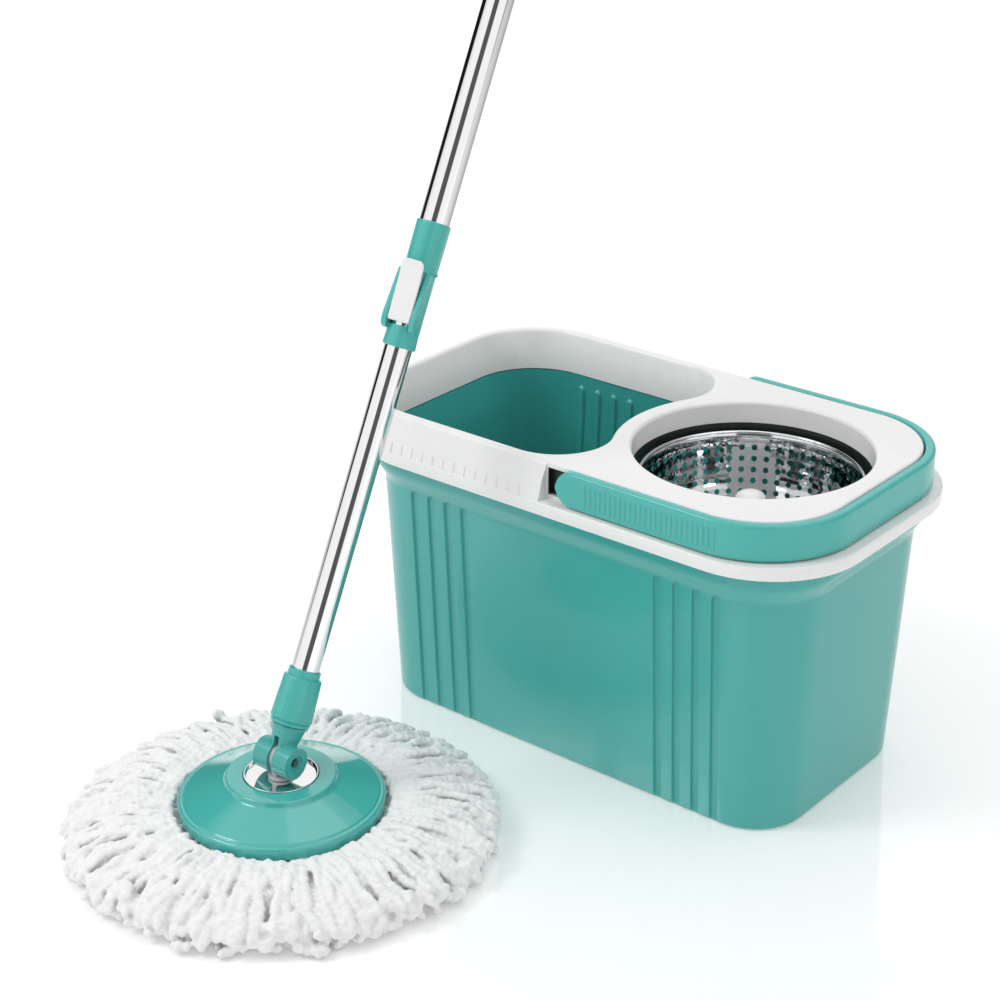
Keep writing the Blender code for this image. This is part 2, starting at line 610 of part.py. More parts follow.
def grip(slide):
    base = UPPER_SPAN[0]
    low, high = (s - base for s in GRIP_SPAN)
    bore = UPPER_R + GAP
    profile = [(bore, low), (0.0138, low), (0.0148, low + 0.0020)]
    for k in range(GRIP_GROOVES):
        start = low + 0.015 + k * (high - low - 0.030) / GRIP_GROOVES
        profile += [(0.0150, start), (0.0140, start + 0.0040), (0.0140, start + 0.0120),
                    (0.0150, start + 0.0160)]
    profile += [(0.0150, high), (bore, high)]
    add("grip", lathe(profile, 22), slide, (TEAL, 0.55, 0.0))
    top = CAP_TOP_S - base
    tube_top = UPPER_SPAN[1] - base
    plug = UPPER_R - TUBE_WALL_UPPER - GAP
    cap = [(0.0, tube_top - 0.0150), (plug, tube_top - 0.0150), (plug, tube_top + GAP),
           (0.0150, tube_top + GAP), (0.0150, tube_top + 0.0060), (0.0135, tube_top + 0.0090),
           (0.0, tube_top + 0.0100)]
    end_cap = add("end_cap", lathe(cap, 28), slide, (TEAL, 0.35, 0.0))
    eye_s = top - 0.0120
    outline = [(eye_s + dz, dy) for dy, dz in arc(0, 0, 0.0120, 0, 180, 20)]
    outline += [(tube_top + 0.0060, -0.0120), (tube_top + 0.0060, 0.0120)]
    boolean(end_cap, cutter("cap_tab", side_plate(outline, -0.0040, 0.0040), slide), "UNION")
    boolean(end_cap, cutter("cap_eye", cylinder((0, 0, eye_s), 0.0065, 0.03, "X", 24), slide))


def pole_assembly():
    pole = frame("knuckle_pivot", MOP + Vector((0, 0, PIN_Z)), turn=(-LEAN, 0, 0))
    slide = frame("pole_slide", (0, 0, UPPER_SPAN[0]), parent=pole)
    knuckle(pole)
    screw_collar(pole)
    tubes(pole, slide)
    spin_drive(pole, slide)
    lock(slide)
    grip(slide)


def main():
    clear_scene()
    bucket_shell()
    rim_cover()
    carry_handle()
    spindle()
    basket()
    mop_head()
    swivel()
    pole_assembly()


main()
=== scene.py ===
"""Looks of the spin mop and bucket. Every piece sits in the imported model's frame, in metres.

X runs along the bucket towards its basket, +Z is up, and the mop stands in front, at -Y.
"""

import math
import random

import bmesh
import bpy
import numpy as np
from mathutils import Matrix, Vector, noise


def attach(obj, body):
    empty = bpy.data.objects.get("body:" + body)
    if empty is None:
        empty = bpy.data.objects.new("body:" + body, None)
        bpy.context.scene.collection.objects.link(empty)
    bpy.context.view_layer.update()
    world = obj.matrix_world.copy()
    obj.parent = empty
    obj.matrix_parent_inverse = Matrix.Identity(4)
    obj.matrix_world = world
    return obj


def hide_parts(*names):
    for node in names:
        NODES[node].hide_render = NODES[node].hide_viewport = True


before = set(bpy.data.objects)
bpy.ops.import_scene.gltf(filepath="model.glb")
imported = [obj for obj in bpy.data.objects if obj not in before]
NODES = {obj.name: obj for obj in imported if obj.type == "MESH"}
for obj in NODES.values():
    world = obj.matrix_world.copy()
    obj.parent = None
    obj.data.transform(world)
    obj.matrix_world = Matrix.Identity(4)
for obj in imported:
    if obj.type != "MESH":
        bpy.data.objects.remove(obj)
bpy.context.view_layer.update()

# ---- sizes shared with the solid model ------------------------------------------------------

HEIGHT = 0.275
FOOT = (0.2030, 0.1050, 0.0466)
NECK = (0.2120, 0.1162, 0.0560)
NECK_Z = 0.2080
SHELL_TOP_Z = 0.2412
WALL = 0.0025
FLOOR_Z = 0.0035
GROOVE_XS = [-0.1493 + 0.0177 * i for i in range(4)] + [0.0967 + 0.0180 * i for i in range(4)]
GROOVE_WIDTH = 0.0085
GROOVE_DEPTH = 0.0024
GROOVE_END_Z = 0.2010
GROOVE_FADE_Z = 0.0040
INSIDE_TOP = (0.2158, 0.1130, 0.0620)

FLANGE = (0.2340, 0.1360, 0.0830)
FLANGE_Z = (0.2335, 0.2445)
CREASE = (0.2307, 0.1306, 0.0777)
CREASE_Z = 0.2590
RIM = (0.2280, 0.1252, 0.0725)
SEAT = (0.2165, 0.1240, 0.0720)
COVER_WALL = 0.0025
SKIRT_WALL = 0.0022
WELL = (0.2195, 0.1165, 0.0640)
WELL_FILLET = 0.0455
WELL_SKIRT_Z = 0.2390
WELL_TAPER = 0.0040
BASKET_X = 0.1045
GUARD_R = 0.1120
OPENING_R = 0.0953
BASKET_SKIRT_Z = 0.2580

HANDLE_OUT = (0.2262, 0.1325, 0.0810)
HANDLE_IN = (0.2182, 0.1252, 0.0740)
HANDLE_Z = (0.2455, HEIGHT)
HANDLE_PIVOT = Vector((0.0250, 0.0, 0.26025))

BASKET_FLOOR_Z = 0.1615
BASKET_SHEET = 0.0011

MOP = Vector((-0.0960, -0.3360, 0.0))
DISC_R = 0.0803
DISC_EDGE_Z = 0.0410
RING_Z = 0.0595
PIN_Z = 0.0740
PAD_R = 0.1700

LEAN = math.radians(26.4)
SLEEVE_TURN = math.radians(16.0)
LOWER_R = 0.0109
UPPER_R = 0.0117
LOWER_SPAN = (0.0280, 0.6600)
UPPER_SPAN = (0.4120, 0.9550)
COLLAR_SPAN = (0.0268, 0.0705)
SLEEVE_SPAN = (0.3265, 0.4245)
BEAD_S = 0.3870
LEVER_PIN = (0.3475, -0.0136)
GRIP_SPAN = (0.8150, 0.9550)
CAP_TOP_S = 0.9900

POLE = Matrix.Translation(MOP + Vector((0, 0, PIN_Z))) @ Matrix.Rotation(-LEAN, 4, "X")
SLEEVE = POLE @ Matrix.Rotation(SLEEVE_TURN, 4, "Z")
DISC = Matrix.Translation(MOP)
SPINDLE = Matrix.Translation((BASKET_X, 0, 0))

TEAL = (0.056, 0.400, 0.372)
TEAL_LIGHT = (0.068, 0.460, 0.420)
WHITE = (0.86, 0.86, 0.855)
OFF_WHITE = (0.80, 0.80, 0.80)
GREY = (0.50, 0.50, 0.51)


# ---- materials ------------------------------------------------------------------------------

def new_material(name):
    mat = bpy.data.materials.new(name)
    mat.use_nodes = True
    tree = mat.node_tree
    return mat, tree, tree.nodes["Principled BSDF"]


def node(tree, kind, **values):
    made = tree.nodes.new(kind)
    for key, value in values.items():
        if key in made.inputs:
            made.inputs[key].default_value = value
        else:
            setattr(made, key, value)
    return made


def noise_on(tree, scale, detail=3.0, stretch=None):
    """A noise in the object's own space, optionally stretched along its axes."""
    where = node(tree, "ShaderNodeTexCoord")
    out = where.outputs["Object"]
    if stretch:
        mapping = node(tree, "ShaderNodeMapping")
        mapping.inputs["Rotation"].default_value = stretch[1]
        mapping.inputs["Scale"].default_value = stretch[0]
        tree.links.new(out, mapping.inputs["Vector"])
        out = mapping.outputs["Vector"]
    made = node(tree, "ShaderNodeTexNoise", Scale=scale, Detail=detail)
    tree.links.new(out, made.inputs["Vector"])
    return made.outputs["Fac"]


def ranged(tree, source, low, high, start=0.3, end=0.7):
    made = node(tree, "ShaderNodeMapRange")
    for key, value in (("From Min", start), ("From Max", end), ("To Min", low), ("To Max", high)):
        made.inputs[key].default_value = value
    tree.links.new(source, made.inputs["Value"])
    return made.outputs["Result"]


def tinted(tree, shader, source, dark, light):
    mix = node(tree, "ShaderNodeMix", data_type="RGBA")
    mix.inputs["A"].default_value = (*dark, 1.0)
    mix.inputs["B"].default_value = (*light, 1.0)
    tree.links.new(ranged(tree, source, 0.0, 1.0), mix.inputs["Factor"])
    tree.links.new(mix.outputs["Result"], shader.inputs["Base Color"])


def bumped(tree, shader, source, strength, distance):
    bump = node(tree, "ShaderNodeBump", Strength=strength, Distance=distance)
    tree.links.new(source, bump.inputs["Height"])
    tree.links.new(bump.outputs["Normal"], shader.inputs["Normal"])


def plastic(name, colour, roughness, coat=0.5, change=0.01, grain=0.006, grain_scale=500.0):
    """Moulded plastic: slight colour clouds, uneven gloss and a fine moulded grain."""
    mat, tree, shader = new_material(name)
    tinted(tree, shader, noise_on(tree, 9.0), [c * (1 - change) for c in colour],
           [min(1.0, c * (1 + change)) for c in colour])
    gloss = ranged(tree, noise_on(tree, 45.0, 4.0), roughness * 0.96, roughness * 1.04)
    tree.links.new(gloss, shader.inputs["Roughness"])
    shader.inputs["Coat Weight"].default_value = coat
    shader.inputs["Coat Roughness"].default_value = 0.06
    shader.inputs["IOR"].default_value = 1.48
    bumped(tree, shader, noise_on(tree, grain_scale, 2.0), grain, 0.0003)
    mat.diffuse_color = (*colour, 1.0)
    return mat


def metal(name, colour, rough_low, rough_high, stretch=None, scale=60.0, bump=0.0, rim=0.0):
    """Plated or ground metal, its roughness in fine streaks. With rim, its colour darkens where it turns
    away from the view: a painted dark reflection.
    """
    mat, tree, shader = new_material(name)
    streaks = noise_on(tree, scale, 5.0, stretch)
    tinted(tree, shader, streaks, [c * 0.97 for c in colour], colour)
    # painted reflection: the colour darkens towards the edges as seen, standing in for the dark reflections
    # at a tube's sides
    if rim:
        facing = node(tree, "ShaderNodeLayerWeight", Blend=0.5)
        mix = node(tree, "ShaderNodeMix", data_type="RGBA")
        mix.inputs["B"].default_value = (*[c * (1 - rim) for c in colour], 1.0)
        tree.links.new(ranged(tree, facing.outputs["Facing"], 0.0, 1.0, 0.18, 0.75), mix.inputs["Factor"])
        tree.links.new(shader.inputs["Base Color"].links[0].from_socket, mix.inputs["A"])
        tree.links.new(mix.outputs["Result"], shader.inputs["Base Color"])
    tree.links.new(ranged(tree, streaks, rough_low, rough_high), shader.inputs["Roughness"])
    shader.inputs["Metallic"].default_value = 1.0
    if bump:
        bumped(tree, shader, streaks, bump, 0.0002)
    mat.diffuse_color = (*colour, 1.0)
    return mat


def chenille(name):
    """Cotton-like tufts: soft, dull, with a nap finer than the modelled bobbles, and painted shade darkening
    the colour in their crevices.
    """
    mat, tree, shader = new_material(name)
    # painted shade: ambient occlusion mixes the colour towards dark grey in the crevices between tufts
    shade = node(tree, "ShaderNodeAmbientOcclusion", samples=8, Distance=0.010)
    tinted(tree, shader, noise_on(tree, 120.0, 4.0), (0.87, 0.87, 0.87), (0.93, 0.93, 0.93))
    mix = node(tree, "ShaderNodeMix", data_type="RGBA")
    mix.inputs["A"].default_value = (0.58, 0.58, 0.585, 1.0)
    tree.links.new(ranged(tree, shade.outputs["AO"], 0.0, 1.0, 0.15, 0.80), mix.inputs["Factor"])
    tree.links.new(shader.inputs["Base Color"].links[0].from_socket, mix.inputs["B"])
    tree.links.new(mix.outputs["Result"], shader.inputs["Base Color"])
    shader.inputs["Roughness"].default_value = 0.95
    shader.inputs["Specular IOR Level"].default_value = 0.15
    shader.inputs["Sheen Weight"].default_value = 0.15
    shader.inputs["Sheen Roughness"].default_value = 0.5
    bumped(tree, shader, noise_on(tree, 1300.0, 4.0), 0.35, 0.0006)
    mat.diffuse_color = (0.93, 0.93, 0.93, 1.0)
    return mat


def rubbery(name, colour):
    return plastic(name, colour, 0.55, coat=0.0, change=0.05, grain=0.3, grain_scale=1500.0)


# ---- meshes ---------------------------------------------------------------------------------

def loft(loops, closed_chain=False):
    bm = bmesh.new()
    rows = [[bm.verts.new(p) for p in loop] for loop in loops]
    count = len(rows[0])
    pairs = list(zip(rows, rows[1:]))
    if closed_chain:
        pairs.append((rows[-1], rows[0]))
    for low, high in pairs:
        for i in range(count):
            j = (i + 1) % count
            bm.faces.new((low[i], low[j], high[j], high[i]))
    if not closed_chain:
        bm.faces.new(rows[0])
        bm.faces.new(rows[-1])
    return bm


def lathe(profile, steps=96):
    """Turns a closed (radius, z) outline about Z. One that touches the axis starts and ends there."""
    bm = bmesh.new()
    solid = profile[0][0] < 1e-9
    rings = []
    for r, z in (profile[1:-1] if solid else profile):
        angles = (math.tau * k / steps for k in range(steps))
        rings.append([bm.verts.new((r * math.cos(a), r * math.sin(a), z)) for a in angles])
    chain = list(zip(rings, rings[1:]))
    if not solid:
        chain.append((rings[-1], rings[0]))
    for low, high in chain:
        for i in range(steps):
            j = (i + 1) % steps
            bm.faces.new((low[i], low[j], high[j], high[i]))
    if solid:
        for (_, z), ring in ((profile[0], rings[0]), (profile[-1], rings[-1])):
            tip = bm.verts.new((0, 0, z))
            for i in range(steps):
                bm.faces.new((tip, ring[i], ring[(i + 1) % steps]))
    return bm


def arc(cx, cy, r, start, end, steps):
    angles = [math.radians(start + (end - start) * k / steps) for k in range(steps + 1)]
    return [(cx + r * math.cos(a), cy + r * math.sin(a)) for a in angles]


def quarter(steps, first=0):
    """Angles of a quarter turn, evenly spaced, from step number first to the end."""
    return [math.pi / 2 * k / steps for k in range(first, steps + 1)]


def softened(points, radii, steps=4, closed=True):
    """The outline with each corner rounded by its radius, or by one radius for all."""
    count = len(points)
    if isinstance(radii, float):
        radii = [radii] * count
    out = []
    for i, (p, radius) in enumerate(zip(points, radii)):
        if radius <= 0 or (not closed and i in (0, count - 1)):
            out.append(tuple(p))
            continue
        here = Vector(p)
        before, after = Vector(points[i - 1]) - here, Vector(points[(i + 1) % count]) - here
        reach = min(radius, before.length * 0.45, after.length * 0.45)
        a, b = here + before.normalized() * reach, here + after.normalized() * reach
        for k in range(steps + 1):
            t = k / steps
            out.append(tuple(a * (1 - t) ** 2 + here * 2 * t * (1 - t) + b * t ** 2))
    return out


def ring_shape(inner, outer, low, high, edge=0.0003):
    return softened([(inner, low), (outer, low), (outer, high), (inner, high)], edge, 3)


def box(low, high):
    bm = bmesh.new()
    bmesh.ops.create_cube(bm, size=1.0)
    low, high = Vector(low), Vector(high)
    place = Matrix.Translation((low + high) / 2) @ Matrix.Diagonal((*(high - low), 1.0))
    bmesh.ops.transform(bm, matrix=place, verts=bm.verts)
    return bm


def cylinder(centre, radius, length, axis="Z", steps=64):
    turn = {"X": Matrix.Rotation(math.pi / 2, 4, "Y"), "Y": Matrix.Rotation(math.pi / 2, 4, "X"),
            "Z": Matrix.Identity(4)}[axis]
    bm = bmesh.new()
    bmesh.ops.create_cone(bm, cap_ends=True, segments=steps, radius1=radius, radius2=radius,
                          depth=length, matrix=Matrix.Translation(centre) @ turn)
    return bm


def side_plate(outline, x_low, x_high):
    return loft([[(x_low, y, z) for z, y in outline], [(x_high, y, z) for z, y in outline]])


def prism(outline, low, high):
    return loft([[(x, y, low) for x, y in outline], [(x, y, high) for x, y in outline]])


def join(*meshes):
    whole = bmesh.new()
    for bm in meshes:
        part = bpy.data.meshes.new("part")
        bm.to_mesh(part)
        bm.free()
        whole.from_mesh(part)
        bpy.data.meshes.remove(part)
    return whole


def moved(bm, place):
    bmesh.ops.transform(bm, matrix=place, verts=bm.verts)
    return bm


def raw_object(name, bm):
    bmesh.ops.recalc_face_normals(bm, faces=bm.faces)
    mesh = bpy.data.meshes.new(name)
    bm.to_mesh(mesh)
    bm.free()
    obj = bpy.data.objects.new(name, mesh)
    bpy.context.scene.collection.objects.link(obj)
    return obj


def taken(obj):
    """The object's shape as a bmesh. The object itself is removed."""
    bm = bmesh.new()
    bm.from_mesh(obj.data)
    bpy.data.objects.remove(obj)
    return bm


def applied(obj):
    """Puts the object's modifiers into its mesh."""
    depsgraph = bpy.context.evaluated_depsgraph_get()
    mesh = bpy.data.meshes.new_from_object(obj.evaluated_get(depsgraph))
    old = obj.data
    obj.modifiers.clear()
    obj.data = mesh
    bpy.data.meshes.remove(old)
    return obj


def cut(obj, bm, operation="DIFFERENCE"):
    tool = raw_object("tool", bm)
    mod = obj.modifiers.new("cut", "BOOLEAN")
    mod.operation = operation
    mod.solver = "EXACT"
    mod.object = tool
    applied(obj)
    bpy.data.objects.remove(tool)
    return obj


def fused(obj, voxel, rounds=3):
    """Remeshes the object finely and smooths it, which rounds its edges like a moulding."""
    mod = obj.modifiers.new("remesh", "REMESH")
    mod.mode = "VOXEL"
    mod.voxel_size = voxel
    smooth = obj.modifiers.new("smooth", "SMOOTH")
    smooth.factor = 0.5
    smooth.iterations = rounds
    return applied(obj)


def finished(obj, body, nodes, mat, place=None, angle=35.0):
    """Places, shades and paints a piece, and lets it ride on its body in the nodes' stead."""
    if place is not None:
        obj.data.transform(place)
    mesh = obj.data
    mesh.materials.clear()
    mesh.materials.append(mat)
    mesh.shade_smooth()
    mesh.set_sharp_from_angle(angle=math.radians(angle))
    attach(obj, body)
    for name in nodes:
        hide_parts(name)
    return obj


def piece(name, bm, body, nodes, mat, place=None, angle=35.0):
    return finished(raw_object(name, bm), body, nodes, mat, place, angle)


# ---- outlines -------------------------------------------------------------------------------

def rounded(size, grow=0.0, steps=20):
    length, width, radius = (v + grow for v in size)
    x, y = length - radius, width - radius
    return (arc(x, y, radius, 0, 90, steps) + arc(-x, y, radius, 90, 180, steps)
            + arc(-x, -y, radius, 180, 270, steps) + arc(x, -y, radius, 270, 360, steps))


def ease(t):
    t = min(1.0, max(0.0, t))
    return t * t * (3 - 2 * t)


def groove_dip(dx, z, end):
    """Depth share of a groove, 0 to 1, at a distance from its middle line.

    Its top end is round, and it fades out just above the floor.
    """
    away = abs(dx) if z < end else math.hypot(dx, z - end)
    return ease((0.47 - away / GROOVE_WIDTH) / 0.16) * ease(z / GROOVE_FADE_Z)


def grooved(size, grow, z, end=GROOVE_END_Z, steps=14):
    length, width, radius = (v + grow for v in size)
    x, y = length - radius, width - radius
    across = (-0.5, -0.46, -0.42, -0.38, -0.34, -0.3, -0.2, 0.0,
              0.2, 0.3, 0.34, 0.38, 0.42, 0.46, 0.5)

    def wall(side):
        points = []
        for gx in GROOVE_XS:
            for share in across:
                dip = groove_dip(share * GROOVE_WIDTH, z, end) * GROOVE_DEPTH
                points.append((gx + share * GROOVE_WIDTH, side * (width - dip)))
        return points

    return (arc(x, y, radius, 0, 90, steps) + wall(1)[::-1] + arc(-x, y, radius, 90, 180, steps)
            + arc(-x, -y, radius, 180, 270, steps) + wall(-1) + arc(x, -y, radius, 270, 360, steps))


def wall_size(z):
    t = min(z, NECK_Z) / NECK_Z
    return tuple(a + (b - a) * t for a, b in zip(FOOT, NECK))


def well_outline(grow=0.0):
    length, width, radius = (v + grow for v in WELL)
    x, y = length - radius, width - radius
    fillet_y = WELL[1] - WELL_FILLET
    reach = GUARD_R + WELL_FILLET
    fillet_x = BASKET_X - math.sqrt(reach ** 2 - fillet_y ** 2)
    meet = math.degrees(math.asin(fillet_y / reach))
    fillet, guard = WELL_FILLET + grow, GUARD_R - grow
    return (arc(-x, y, radius, 180, 90, 18)[::-1] + arc(-x, -y, radius, 180, 270, 18)
            + arc(fillet_x, -fillet_y, fillet, 270, 360 + meet, 24)
            + arc(BASKET_X, 0, guard, 180 + meet, 180 - meet, 30)[1:-1]
            + arc(fillet_x, fillet_y, fillet, -meet, 90, 24))


# ---- bucket ---------------------------------------------------------------------------------

def bucket_shell(mat):
    foot_r, inner_r = 0.0040, 0.0080
    neck = [(0.2030 + 0.0205 * k / 12, 0.0085 * ease(k / 12)) for k in range(1, 13)]
    neck.append((SHELL_TOP_Z, 0.0105))
    straight = [(z, 0.0) for z in (0.05, 0.1, 0.15, 0.195)]
    straight += [(0.1975 + 0.0009 * k, 0.0) for k in range(7)]
    foot = [(foot_r * (1 - math.sin(a)), -foot_r * (1 - math.cos(a)))
            for a in reversed(quarter(6))]
    loops = [[(x, y, z) for x, y in grooved(wall_size(z), grow, z)] for z, grow in foot + straight + neck]
    # the inside comes up without a step and ends just under the cover's skirt
    top_in = tuple(v - WALL for v in NECK)
    ribs_end, lip_z = 0.2245, WELL_SKIRT_Z - 0.0012
    inside = [(SHELL_TOP_Z, NECK, 0.0080), (lip_z + 0.0002, NECK, 0.0078), (lip_z, NECK, 0.0072)]
    steps = 24
    for k in range(steps + 1):
        t = 1 - k / steps
        size = tuple(a + (b - a) * t for a, b in zip(top_in, INSIDE_TOP))
        inside.append((NECK_Z + (lip_z - NECK_Z) * t, size, 0.0))
    inside += [(z, wall_size(z), -WALL) for z in (0.15, 0.1, 0.05)]
    inside += [(FLOOR_Z + inner_r * (1 - math.sin(a)), FOOT, -WALL - inner_r * (1 - math.cos(a)))
               for a in quarter(6)]
    loops += [[(x, y, z) for x, y in grooved(size, grow, z, ribs_end)] for z, size, grow in inside]
    piece("tub", loft(loops), "bucket", ["bucket_shell"], mat, angle=40)


def cover_form(grow, low):
    top = HEIGHT + grow
    ledge = FLANGE_Z[1] + grow / 2
    edge_r, lip = 0.0014, 0.0045
    levels = [(FLANGE, -0.0008, low), (FLANGE, -0.0002, low + 0.0003), (FLANGE, 0.0, low + 0.0009)]
    for a in quarter(4):
        levels.append((FLANGE, -edge_r * (1 - math.cos(a)), ledge - edge_r * (1 - math.sin(a))))
    levels.append((CREASE, 0.0004, CREASE_Z - 0.0012 + grow / 2))
    levels.append((CREASE, -0.0002, CREASE_Z + 0.0012 + grow / 2))
    for a in quarter(8):
        levels.append((RIM, 0.0006 - lip * (1 - math.cos(a)), top - lip * (1 - math.sin(a))))
    return loft([[(x, y, z) for x, y in rounded(size, more + grow)] for size, more, z in levels])


def lipped_well():
    """The water opening's cutter: it narrows downwards and widens in a round lip at the top."""
    slope, lip = WELL_TAPER / (HEIGHT - WELL_SKIRT_Z), 0.0036
    levels = [(0.2250, -slope * (HEIGHT - 0.2250)), (HEIGHT - lip, -slope * lip)]
    for a in quarter(8, 1):
        levels.append((HEIGHT - lip * (1 - math.sin(a)), lip * (1 - math.cos(a))))
    levels.append((HEIGHT + 0.006, lip))
    return loft([[(x, y, z) for x, y in well_outline(grow)] for z, grow in levels])


def lipped_hole():
    lip = 0.0032
    profile = [(0.0, 0.2300), (OPENING_R, 0.2300), (OPENING_R, HEIGHT - lip)]
    profile += [(OPENING_R + lip * (1 - math.cos(a)), HEIGHT - lip * (1 - math.sin(a)))
                for a in quarter(8, 1)]
    profile += [(OPENING_R + lip, HEIGHT + 0.006), (0.0, HEIGHT + 0.006)]
    return lathe(profile, 144)


def rim_cover(mat, dark):
    cover = raw_object("rim", cover_form(0.0, FLANGE_Z[0]))

    hollow = raw_object("hollow", prism(rounded(FLANGE, -COVER_WALL), 0.2200, SHELL_TOP_Z + 0.0003))
    cut(hollow, prism(rounded(SEAT, -COVER_WALL), 0.2300, HEIGHT - COVER_WALL), "UNION")
    left = raw_object("left", cover_form(-COVER_WALL, 0.2300))
    cut(left, box((-0.3, -0.2, 0.2), (-0.0125, 0.2, 0.3)), "INTERSECT")
    cut(hollow, taken(left), "UNION")
    slope, low_z = WELL_TAPER / (HEIGHT - WELL_SKIRT_Z), BASKET_SKIRT_Z - 0.0015
    skirt = [[(x, y, z) for x, y in well_outline(SKIRT_WALL + 0.0004 - slope * (HEIGHT - z))]
             for z in (WELL_SKIRT_Z, HEIGHT - 0.0045)]
    lip = [(x, y, HEIGHT + 0.01) for x, y in well_outline(SKIRT_WALL + 0.0045)]
    cut(hollow, loft(skirt + [lip]))
    skirt_r = OPENING_R + SKIRT_WALL
    collar = [(0.0, low_z), (skirt_r, low_z), (skirt_r, HEIGHT - 0.004), (skirt_r + 0.0035, 0.2900),
              (0.0, 0.2900)]
    cut(hollow, moved(lathe(collar, 144), SPINDLE))
    cut(cover, taken(hollow))
    cut(cover, lipped_well())
    cut(cover, moved(lipped_hole(), SPINDLE))

    # the handle's seat: a step round the right end, whose left wall slants outwards
    half = [(0.3, 0.2), (-0.0046, 0.2), (-0.0046, 0.1345), (-0.0038, SEAT[1])]
    outline = [(x, -y) for x, y in reversed(half)] + half
    seat = raw_object("seat", prism(outline, FLANGE_Z[1], 0.3))
    edge = 0.0018
    core = [(0.2400, 0.0), (HEIGHT - edge, 0.0)]
    core += [(HEIGHT - edge * (1 - math.sin(a)), -edge * (1 - math.cos(a)))
             for a in quarter(5, 1)]
    core += [(0.3100, -edge)]
    cut(seat, loft([[(x, y, z) for x, y in rounded(SEAT, grow)] for z, grow in core]))
    cut(cover, taken(seat))
    pockets, shade_plates = [], []
    for y in (-SEAT[1], SEAT[1]):
        pockets.append(box((-0.0030, y - 0.006, 0.2474), (0.0160, y + 0.006, 0.2705)))
        pockets.append(cylinder((HANDLE_PIVOT.x, y, HANDLE_PIVOT.z), 0.0053, 0.012, "Y", 40))
    cut(cover, join(*pockets))
    finished(cover, "bucket", ["rim_cover"], mat, angle=28)
    # painted shade: a black ring fills the gap between the skirt of the basket opening and the bowl's bead
    ring = ring_shape(OPENING_R + 0.0002, skirt_r, 0.2400, low_z - 0.0002)
    piece("shade_ring", lathe(ring, 144), "bucket", [], dark, SPINDLE)
    # painted shade: thin black plates inside the handle's pockets darken them
    for side in (-1, 1):
        for less, right in ((0.0050, 0.0158), (0.0006, -0.0020)):
            back, front = sorted((side * (SEAT[1] - 0.0058), side * (SEAT[1] - less)))
            shade_plates.append(box((-0.0028, back, 0.2476), (right, front, 0.2703)))
    piece("pocket_shade_plates", join(*shade_plates), "bucket", [], dark)


def skirt_ridges(mat):
    """Short upright ribs at the foot of the cover's skirt, on both long sides."""
    count, first, pitch, half, proud = 14, -0.1690, 0.0111, 0.0008, 0.0009
    low, high = FLANGE_Z[1] - 0.0004, FLANGE_Z[1] + 0.0088
    share = (high - FLANGE_Z[1]) / (CREASE_Z - FLANGE_Z[1])
    y_low, y_high = 0.1346, 0.1346 + (CREASE[1] - 0.1346) * share
    ridges = []
    for side in (-1, 1):
        for k in range(count):
            x = first + pitch * k
            loops = []
            for t, out in ((0.0, proud), (0.75, proud), (0.92, proud * 0.6), (1.0, -0.0006)):
                y, z = y_low + (y_high - y_low) * t, low + (high - low) * t
                wide = half * (1.0 if t < 0.9 else 0.6)
                section = [(-wide, -0.0012), (-wide, out * 0.6), (-wide * 0.5, out), (wide * 0.5, out),
                           (wide, out * 0.6), (wide, -0.0012)]
                loops.append([(x + dx, side * (y + dy), z) for dx, dy in section])
            ridges.append(loft(loops))
    piece("skirt_ridges", join(*ridges), "bucket", [], mat, angle=50)


# ---- carrying handle ------------------------------------------------------------------------

def handle_stations():
    """Pairs of outer and inner points round the U, with how high the section is at each."""
    reach = (HANDLE_Z[1] - HANDLE_Z[0]) / 2
    ends = [reach * math.cos(a) for a in quarter(14, 1)]
    ribbed = [HANDLE_PIVOT.x + 0.0100 + 0.00035 * k for k in range(392)]
    xs = [HANDLE_PIVOT.x - e for e in ends] + [HANDLE_PIVOT.x + 0.0025 * k for k in range(1, 4)] + ribbed
    length, width, radius = HANDLE_OUT
    _, width_in, radius_in = HANDLE_IN
    straight = [x for x in xs if x < length - radius]
    stations = []
    for x in straight:
        away = max(0.0, HANDLE_PIVOT.x - x)
        high = math.sqrt(max(1e-8, reach ** 2 - away ** 2))
        stations.append(((x, -width), (x, -width_in), high))
    turns = [270 + 0.25 * k for k in range(81)] + [290 + 3.5 * k for k in range(1, 21)]
    centre, centre_in = (length - radius, radius - width), (HANDLE_IN[0] - radius_in, radius_in - width_in)
    corner = []
    for turn in turns:
        c, s = math.cos(math.radians(turn)), math.sin(math.radians(turn))
        corner.append(((centre[0] + radius * c, centre[1] + radius * s),
                       (centre_in[0] + radius_in * c, centre_in[1] + radius_in * s)))
    stations += [(a, b, reach) for a, b in corner]
    mirrored = [((a[0], -a[1]), (b[0], -b[1]), h) for a, b, h in reversed(stations)]
    return stations + mirrored


def rib_height(x, z):
    """Narrow upright pads on the handle's arms, raised like a moulded grip."""
    first, pitch, count = 0.0385, 0.0047, 26
    half_width, half_height, drop, proud = 0.00175, 0.0074, 0.0008, 0.00085
    k = round((x - first) / pitch)
    if not 0 <= k < count:
        return 0.0
    dx = x - (first + k * pitch)
    dz = max(0.0, abs(z - HANDLE_PIVOT.z + drop) - half_height)
    return proud * ease((half_width - math.hypot(dx, dz)) / 0.0008)


